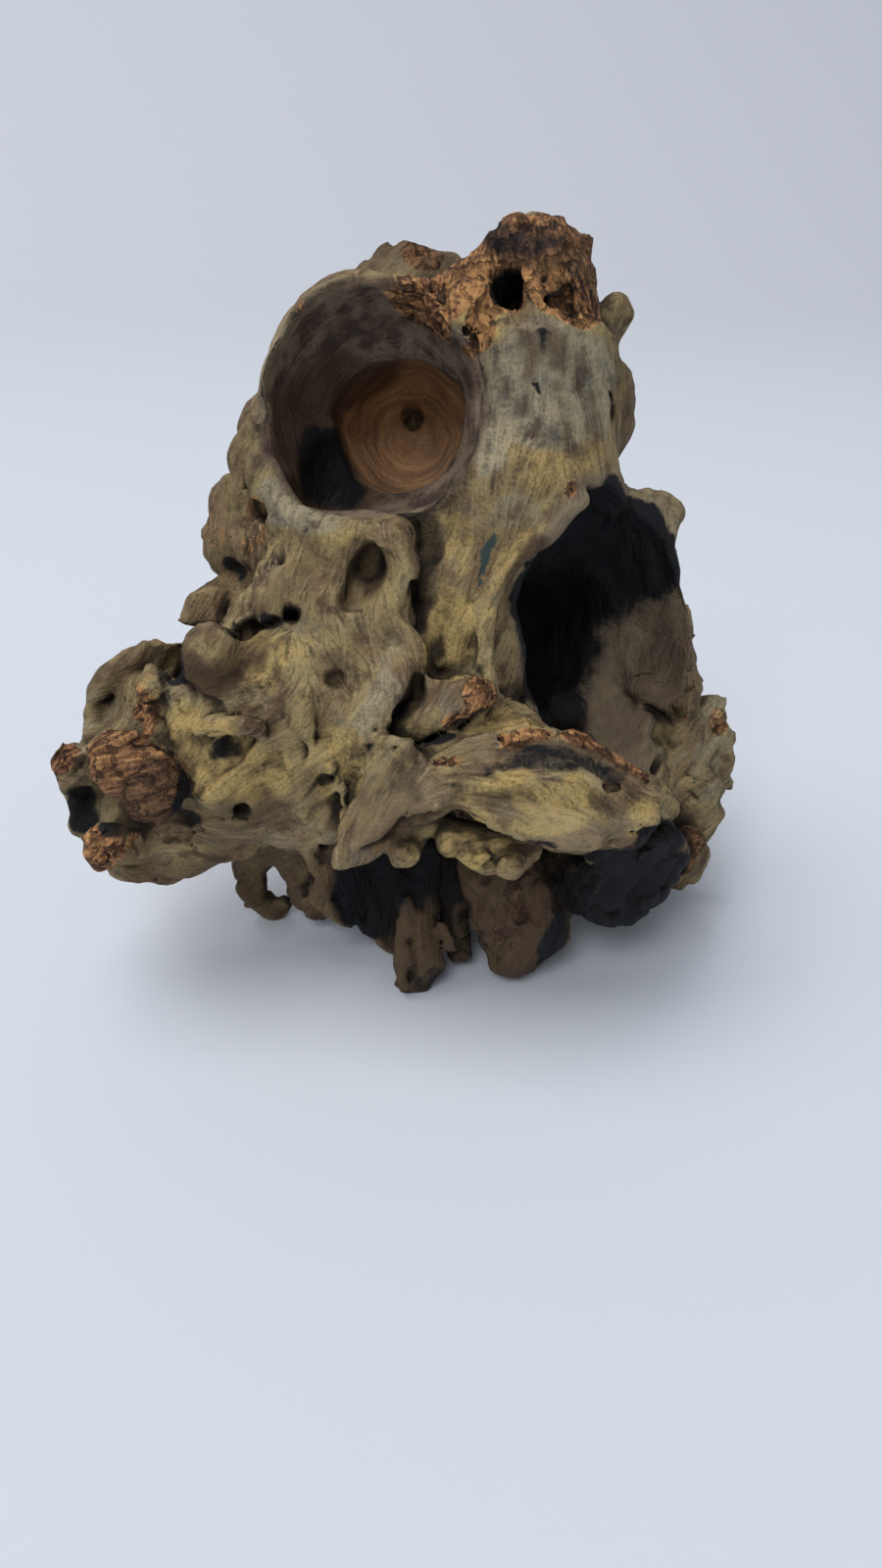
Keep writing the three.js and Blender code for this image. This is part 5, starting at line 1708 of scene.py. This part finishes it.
def put_attribute(mesh: bpy.types.Mesh, name: str, values: Array) -> None:
    """Writes one number or one vector for each vertex as a named attribute.

    Args:
        mesh: the mesh.
        name: the attribute's name.
        values: N numbers, or N by 3.
    """
    is_vector = values.ndim == 2
    row = mesh.attributes.new(name, "FLOAT_VECTOR" if is_vector else "FLOAT", "POINT")
    row.data.foreach_set("vector" if is_vector else "value", values.astype(np.float32).ravel())


# Shader expressions

Number = Union[int, float]
Colour = tuple[float, float, float]
Value = Union["Term", int, float, Colour]


@dataclass(frozen=True)
class Term:
    """A node's output that can stand in a sum, by Math nodes for numbers and Vector Math for vectors."""

    sheet: "Sheet"
    socket: bpy.types.NodeSocket
    is_vector: bool = False

    def math(self, operation: str, *others: Value) -> "Term":
        """Adds one Math or Vector Math node with this term first."""
        return self.sheet.math(operation, self, *others)

    def __add__(self, other: Value) -> "Term":
        """self + other."""
        return self.math("ADD", other)

    def __radd__(self, other: Union[Number, Colour]) -> "Term":
        """other + self."""
        return self.math("ADD", other)

    def __sub__(self, other: Value) -> "Term":
        """self - other."""
        return self.math("SUBTRACT", other)

    def __rsub__(self, other: Union[Number, Colour]) -> "Term":
        """other - self."""
        return self.sheet.math("SUBTRACT", other, self)

    def __mul__(self, other: Value) -> "Term":
        """self * other; a vector times a number scales it.

        Args:
            other: a term, a number or a colour.

        Returns:
            The product.
        """
        if self.is_vector and isinstance(other, (int, float)):
            return self.math("MULTIPLY", (other, other, other))
        return self.math("MULTIPLY", other)

    def __rmul__(self, other: Union[Number, Colour]) -> "Term":
        """other * self."""
        return self * other

    def __truediv__(self, other: Number) -> "Term":
        """self / other."""
        return self * (1 / other)

    def rise(self, low: Number, high: Number) -> "Term":
        """Goes smoothly from 0 at low to 1 at high; low may be the larger one."""
        return self.sheet.node("ShaderNodeMapRange", {"interpolation_type": "SMOOTHSTEP"},
                               {"Value": self, "From Min": low, "From Max": high})


class Sheet:
    """The node sheet of one material, with one way to add any node."""

    def __init__(self, name: str) -> None:
        """Starts a material with an empty sheet.

        Args:
            name: the material's name.
        """
        self.material = bpy.data.materials.new(name)
        self.material.use_nodes = True
        self.tree = self.material.node_tree
        self.tree.nodes.clear()

    def node(self, kind: str, settings: dict, sockets: dict, output: Union[int, str] = 0,
             is_vector: bool = False) -> Term:
        """Adds a node: its type and settings first, then the values or links of its sockets.

        Args:
            kind: the node's type name.
            settings: properties of the node; "stops" fills a colour ramp.
            sockets: values or terms by socket name or number.
            output: which output the term stands for.
            is_vector: whether that output is a vector.

        Returns:
            The output as a term.
        """
        new = self.tree.nodes.new(kind)
        for key, value in settings.items():
            if key == "stops":
                self.fill_ramp(new.color_ramp, value)
            else:
                setattr(new, key, value)
        for key, value in sockets.items():
            if isinstance(value, Term):
                self.tree.links.new(value.socket, new.inputs[key])
            elif new.inputs[key].type == "RGBA" and len(value) == 3:
                new.inputs[key].default_value = (*value, 1.0)
            else:
                new.inputs[key].default_value = value
        return Term(self, new.outputs[output] if new.outputs else None, is_vector)

    @staticmethod
    def fill_ramp(ramp: bpy.types.ColorRamp, stops: Sequence[tuple[float, Colour]]) -> None:
        """Gives a colour ramp its stops.

        Args:
            ramp: the node's ramp.
            stops: each a place from 0 to 1 and a colour.
        """
        while len(ramp.elements) < len(stops):
            ramp.elements.new(1.0)
        for element, (place, colour) in zip(ramp.elements, stops):
            element.position = place
            element.color = (*colour, 1.0)

    def math(self, operation: str, *values: Value) -> Term:
        """Adds a Math node, or a Vector Math node where any value is a vector.

        Args:
            operation: the node's operation.
            values: what goes in, first to last.

        Returns:
            The node's output.
        """
        is_vector = any(isinstance(v, tuple) or (isinstance(v, Term) and v.is_vector) for v in values)
        kind = "ShaderNodeVectorMath" if is_vector else "ShaderNodeMath"
        return self.node(kind, {"operation": operation}, dict(enumerate(values)), is_vector=is_vector)

    def blend(self, share: Union[Term, Number], below: Union[Term, Colour],
              above: Union[Term, Colour]) -> Term:
        """Mixes two colours by a share: 0 gives the first, 1 the second."""
        return self.node("ShaderNodeMix", {"data_type": "RGBA", "blend_type": "MIX", "clamp_factor": True},
                         {0: share, 6: below, 7: above}, output=2, is_vector=True)

    def ramp(self, value: Term, stops: Sequence[tuple[float, Colour]]) -> Term:
        """Turns a number into a colour by stops."""
        return self.node("ShaderNodeValToRGB", {"stops": stops}, {"Fac": value}, is_vector=True)

    def attribute(self, name: str, is_vector: bool = False) -> Term:
        """Reads one of the skin's own attributes."""
        return self.node("ShaderNodeAttribute", {"attribute_name": name}, {},
                         output="Vector" if is_vector else "Fac", is_vector=is_vector)

    def noise(self, place: Term, scale: float, detail: float = 3.0, rough: float = 0.55,
              twist: float = 0.0) -> Term:
        """Noise from 0 to 1 at a place; scale is the number of blotches to a unit.

        Args:
            place: where it is read.
            scale: its scale.
            detail: how many finer layers.
            rough: how much the finer layers count.
            twist: how far it is distorted.

        Returns:
            The noise, from 0 to 1.
        """
        return self.node("ShaderNodeTexNoise", {"noise_dimensions": "3D", "normalize": True},
                         {"Vector": place, "Scale": scale, "Detail": detail, "Roughness": rough,
                          "Distortion": twist})

    def combed(self, place: Term, along: Term, width: float, detail: float = 0.0, reach: int = 3) -> Term:
        """Noise combed along the grain: the mean of noise at places one width apart, spread out again.

        Args:
            place: the point in millimetres.
            along: the direction of the grain there.
            width: width of a streak in millimetres.
            detail: finer layers of each noise.
            reach: how many places are taken on each side.

        Returns:
            A value about 0.5, mostly from 0.2 to 0.8.
        """
        total = None
        for step in range(-reach, reach + 1):
            shifted = place + along * (step * width * 0.9)
            one = self.noise(shifted, 1 / width, detail, 0.5)
            total = one if total is None else total + one
        return 0.5 + (total / (2 * reach + 1) - 0.5) * 2.1

    def cells(self, place: Term, scale: float, feature: str = "F1", output: str = "Distance") -> Term:
        """Distance to the nearest random point, or another measure of the same cells."""
        return self.node("ShaderNodeTexVoronoi", {"feature": feature}, {"Vector": place, "Scale": scale},
                         output=output, is_vector=output == "Color")


@dataclass(frozen=True)
class WeatheredWood:
    """The finish of the whole piece: dry root wood, from silver and ochre to rot and charcoal, with painted
    shade in hollows, creases, holes and the cave.
    """

    brown: Colour = (0.250, 0.165, 0.086)
    olive: Colour = (0.370, 0.280, 0.130)
    ochre: Colour = (0.570, 0.405, 0.150)
    pale: Colour = (0.560, 0.470, 0.290)
    silver: Colour = (0.420, 0.365, 0.240)
    cool_grey: Colour = (0.165, 0.165, 0.138)
    umber: Colour = (0.070, 0.041, 0.026)
    dark: Colour = (0.022, 0.017, 0.013)
    # Black for real char and for painted shade in holes, pits and the cave.
    char_and_shade_black: Colour = (0.010, 0.011, 0.014)
    teal: Colour = (0.034, 0.075, 0.078)
    cave_wall: Colour = (0.215, 0.168, 0.124)
    bright_rot: Colour = (0.640, 0.330, 0.125)
    band_brown: Colour = (0.215, 0.155, 0.110)
    band_dark: Colour = (0.070, 0.048, 0.036)
    sand: Colour = (0.800, 0.760, 0.660)
    rot_stops: tuple[tuple[float, Colour], ...] = (
        (0.37, (0.018, 0.012, 0.010)), (0.44, (0.110, 0.052, 0.032)), (0.50, (0.310, 0.145, 0.066)),
        (0.59, (0.580, 0.310, 0.128)), (0.70, (0.820, 0.560, 0.270)))
    bowl_stops: tuple[tuple[float, Colour], ...] = (
        (0.30, (0.160, 0.095, 0.062)), (0.45, (0.340, 0.195, 0.105)), (0.56, (0.560, 0.310, 0.150)),
        (0.68, (0.740, 0.460, 0.240)))

    def material(self) -> bpy.types.Material:
        """Builds the finish from the grain's coordinates, the shares and noise.

        Returns:
            The material.
        """
        sheet = Sheet("weathered_wood")
        place = sheet.node("ShaderNodeTexCoord", {}, {}, output="Object", is_vector=True) * 1000.0
        along = sheet.attribute("along", is_vector=True)
        ring = sheet.attribute("ring")
        rot, char, painted_shade_and_umber, silver, ochre, stain, bowl, cave, hollow, crease, edge = (
            sheet.attribute(name) for name in
            ("rot", "char", "painted_shade_and_umber", "silver", "ochre", "stain", "bowl", "cave", "hollow", "crease", "edge"))

        mottle = sheet.noise(place, 0.055, 4.0, 0.6)
        blotch = sheet.noise(place, 0.16, 3.0, 0.6)
        patchy = sheet.noise(place + (70.0, 70.0, 70.0), 0.085, 4.0, 0.62)
        grit = sheet.noise(place, 1.4, 2.0, 0.7)
        dust = sheet.noise(place, 3.6, 1.0, 0.6)
        band = sheet.combed(place, along, 4.6, 0.0, 2)
        streak = sheet.combed(place, along, 1.9, 1.0)
        fine = sheet.combed(place, along, 0.75, 0.0, 3)
        split = sheet.combed(place, along, 2.4, 0.0, 4)
        crack = split.rise(0.20, 0.14) * mottle.rise(0.48, 0.58)
        ragged = (blotch - 0.5) * 0.7 + (grit - 0.5) * 0.4 + (streak - 0.5) * 0.5

        colour = sheet.blend(mottle.rise(0.40, 0.60), self.brown, self.olive)
        colour = sheet.blend((ochre + ragged).rise(0.25, 0.85) * 0.85, colour, self.ochre)
        grey = sheet.blend((streak * 0.35 + patchy * 0.65).rise(0.40, 0.56), self.cool_grey, self.silver)
        colour = sheet.blend((silver + ragged).rise(0.3, 0.9) * 0.8, colour, grey)
        colour = sheet.blend(patchy.rise(0.56, 0.70) * 0.55, colour, self.cool_grey)
        colour = sheet.blend(patchy.rise(0.48, 0.32) * 0.75, colour, self.umber)
        colour = sheet.blend(band.rise(0.50, 0.20) * 0.7, colour, self.umber)
        colour = sheet.blend(streak.rise(0.50, 0.22) * (0.55 - silver * 0.3), colour, self.dark)
        colour = sheet.blend(fine.rise(0.48, 0.25) * (0.4 - silver * 0.2), colour, self.dark)
        colour = sheet.blend(fine.rise(0.55, 0.8) * 0.3, colour, self.pale)
        colour = sheet.blend(grit.rise(0.48, 0.30) * 0.45, colour, self.umber)
        colour = sheet.blend(dust.rise(0.58, 0.70) * 0.25, colour, self.pale)
        waver = sheet.noise(place, 0.09, 2.0, 0.5) * 7.0
        rings = sheet.node("ShaderNodeCombineXYZ", {}, {"X": ring + waver}, is_vector=True)
        rings = sheet.noise(rings, 0.33, 3.0, 0.6) * 0.5 + streak * 0.2 + patchy * 0.3
        disk = sheet.ramp(rings, self.bowl_stops)
        outer = sheet.blend((rings * 0.5 + blotch * 0.5).rise(0.42, 0.58), self.band_dark, self.band_brown)
        disk = sheet.blend((ring + ragged * 8.0).rise(15.0, 22.5), disk, outer)
        colour = sheet.blend(bowl, colour, disk)
        colour = sheet.blend(cave * 0.7, colour, self.cave_wall)
        fibres = streak * 0.45 + fine * 0.25 + grit * 0.15 + patchy * 0.15
        decayed = (rot + ragged * 0.9).rise(0.33, 0.60)
        block = sheet.cells(place + along * (streak * 4.0) + ragged * 4.0, 0.16, "DISTANCE_TO_EDGE")
        block = block.rise(0.10, 0.0)
        rotten = sheet.blend(block * 0.4, sheet.ramp(fibres, self.rot_stops), self.dark)
        rotten = sheet.blend((blotch * 0.6 + streak * 0.4).rise(0.45, 0.35) * 0.8, rotten, self.dark)
        rotten = sheet.blend(ochre * streak.rise(0.3, 0.6) * 0.8, rotten, self.bright_rot)
        colour = sheet.blend(decayed, colour, rotten)
        colour = sheet.blend((stain + ragged).rise(0.35, 0.6) * 0.85, colour, self.teal)
        colour = sheet.blend(edge.rise(0.55, 1.0) * 0.22 * (1 - rot), colour, self.pale)
        # Umber painted shade in pits, clefts and under the roots, with some dark brown wood.
        colour = sheet.blend((painted_shade_and_umber + ragged * 0.8).rise(0.1, 1.0) * 0.85, colour, self.umber)
        # Black for real char on the burnt root and for painted shade in holes, pits and the cave.
        char_and_shade_colour = sheet.blend(grit.rise(0.55, 0.80) * 0.10, self.char_and_shade_black, self.cool_grey)
        char_and_shade_colour = sheet.blend(streak.rise(0.60, 0.80) * 0.25, char_and_shade_colour, self.umber)
        colour = sheet.blend((char + ragged * 0.8).rise(0.30, 0.72) * 0.99, colour, char_and_shade_colour)
        colour = sheet.blend(crack * 0.85, colour, self.dark)
        # Painted shade: creases and hollows turn dark where the wood closes in round them.
        colour = sheet.blend(crease.rise(0.35, 0.85) * 0.75, colour, self.dark)
        colour = sheet.blend(hollow.rise(0.28, 0.75) * 0.8, colour, self.dark)
        colour = sheet.blend(dust.rise(0.80, 0.84) * 0.5 * (1 - char), colour, self.sand)

        height = streak * 0.6 + fine * 0.3 + grit * 0.2 + dust * 0.1 - crack * 0.6 - decayed * block * 0.8
        bump = sheet.node("ShaderNodeBump", {}, {"Strength": 1.0, "Distance": 0.0015, "Height": height},
                          is_vector=True)
        rough = 0.88 - char.rise(0.4, 0.9) * 0.12 - streak * 0.06
        shader = sheet.node("ShaderNodeBsdfPrincipled", {},
                            {"Base Color": colour, "Roughness": rough, "Normal": bump,
                             "Specular IOR Level": 0.22})
        sheet.node("ShaderNodeOutputMaterial", {}, {"Surface": shader})
        return sheet.material


@dataclass(frozen=True)
class PlainPaper:
    """The pale, matt sheet that the piece stands on."""

    near: Colour = (0.74, 0.785, 0.86)
    far: Colour = (0.655, 0.685, 0.745)

    def material(self) -> bpy.types.Material:
        """Builds a flat, matt finish that darkens a little towards the back and the right, as painted shade.

        Returns:
            The material.
        """
        sheet = Sheet("plain_paper")
        place = sheet.node("ShaderNodeTexCoord", {}, {}, output="Object", is_vector=True)
        apart = sheet.node("ShaderNodeSeparateXYZ", {}, {"Vector": place})
        away = sheet.node("ShaderNodeSeparateXYZ", {}, {"Vector": place}, output=1)
        # Painted shade: the sheet turns to the darker far colour towards the back and the right.
        colour = sheet.blend(away.rise(0.1, 1.3) * (0.95 + apart * 0.12), self.near, self.far)
        shader = sheet.node("ShaderNodeBsdfPrincipled", {}, {"Base Color": colour, "Roughness": 0.9,
                                                             "Specular IOR Level": 0.1})
        sheet.node("ShaderNodeOutputMaterial", {}, {"Surface": shader})
        return sheet.material


@dataclass(frozen=True)
class Studio:
    """The pale floor that sweeps up behind, the soft lights and the camera."""

    width: float = 6.0
    front: float = -2.0
    bend_start: float = 1.1
    bend_radius: float = 1.2
    wall_top: float = 3.2
    camera_place: Triple = (0.00665, -0.29095, 0.207)
    camera_pitch: float = 30.0
    focal_pixels: float = 1202.0
    frame_height_pixels: float = 1600.0
    sensor_mm: float = 36.0

    def sweep(self) -> bpy.types.Object:
        """Floor and wall as one sheet: a line on the ground, a quarter circle, and a line up.

        Returns:
            The sheet.
        """
        turn = np.linspace(0, math.pi / 2, 25)
        y = np.concatenate([[self.front], self.bend_start + self.bend_radius * np.sin(turn),
                            [self.bend_start + self.bend_radius]])
        z = np.concatenate([[0.0], self.bend_radius * (1 - np.cos(turn)), [self.wall_top]])
        x = np.array([-self.width / 2, self.width / 2])
        grid = np.stack(np.broadcast_arrays(x[None, :], y[:, None], z[:, None]), -1).reshape(-1, 3)
        row = np.arange(len(y) - 1)[:, None] * 2
        faces = row + np.array([[0, 1, 3, 2]])
        sheet = mesh_from_arrays("sweep", grid, faces)
        sheet.data.polygons.foreach_set("use_smooth", np.ones(len(faces), bool))
        sheet.data.materials.append(PlainPaper().material())
        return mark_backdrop(sheet)

    @staticmethod
    def soft_light(name: str, place: Triple, aim: Triple, size: float, watts: float, tint: Colour) -> None:
        """Adds one square soft light that looks at a point.

        Args:
            name: the light's name.
            place: where it hangs, in metres.
            aim: the point that it looks at.
            size: its side in metres.
            watts: its power.
            tint: its colour.
        """
        lamp = bpy.data.lights.new(name, "AREA")
        lamp.shape, lamp.size, lamp.energy, lamp.color = "SQUARE", size, watts, tint
        holder = bpy.data.objects.new(name, lamp)
        holder.location = place
        away = np.array(place) - np.array(aim)
        flat = math.hypot(away[0], away[1])
        holder.rotation_euler = (math.atan2(flat, away[2]), 0, math.atan2(away[1], away[0]) + math.pi / 2)
        bpy.context.scene.collection.objects.link(holder)

    def light(self) -> None:
        """Soft key from high on the left, a weak fill from the front, and an even pale surrounding."""
        self.soft_light("key", (-1.5, 0.25, 4.0), (0.0, 0.0, 0.05), 3.0, 95.0, (1.0, 0.985, 0.96))
        self.soft_light("fill", (-0.9, -2.6, 3.2), (0.0, 0.0, 0.06), 1.8, 48.0, (0.97, 0.98, 1.0))
        world = bpy.data.worlds.new("pale_room")
        world.use_nodes = True
        background = world.node_tree.nodes["Background"]
        background.inputs["Color"].default_value = (0.90, 0.94, 1.0, 1.0)
        background.inputs["Strength"].default_value = 0.29
        bpy.context.scene.world = world

    def camera(self) -> None:
        """Camera at the photograph's angle: pitched down, its lens from the focal length in pixels."""
        lens = bpy.data.cameras.new("camera")
        lens.sensor_width = self.sensor_mm
        lens.lens = self.focal_pixels / self.frame_height_pixels * self.sensor_mm
        lens.clip_start = 0.01
        holder = bpy.data.objects.new("camera", lens)
        holder.location = self.camera_place
        holder.rotation_euler = (math.radians(90 - self.camera_pitch), 0, 0)
        bpy.context.scene.collection.objects.link(holder)
        bpy.context.scene.camera = holder


def main() -> None:
    """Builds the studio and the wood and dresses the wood."""
    logging.basicConfig(level=logging.INFO, format="%(message)s")
    studio = Studio()
    studio.sweep()
    studio.light()
    studio.camera()
    bpy.context.scene.view_settings.view_transform = "Standard"
    skin = DriftwoodSkin().build()
    skin.data.materials.append(WeatheredWood().material())
    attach(skin, "root")
    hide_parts("driftwood")
    LOG.info("built %s", skin.name)


if __name__ == "__main__":
    main()
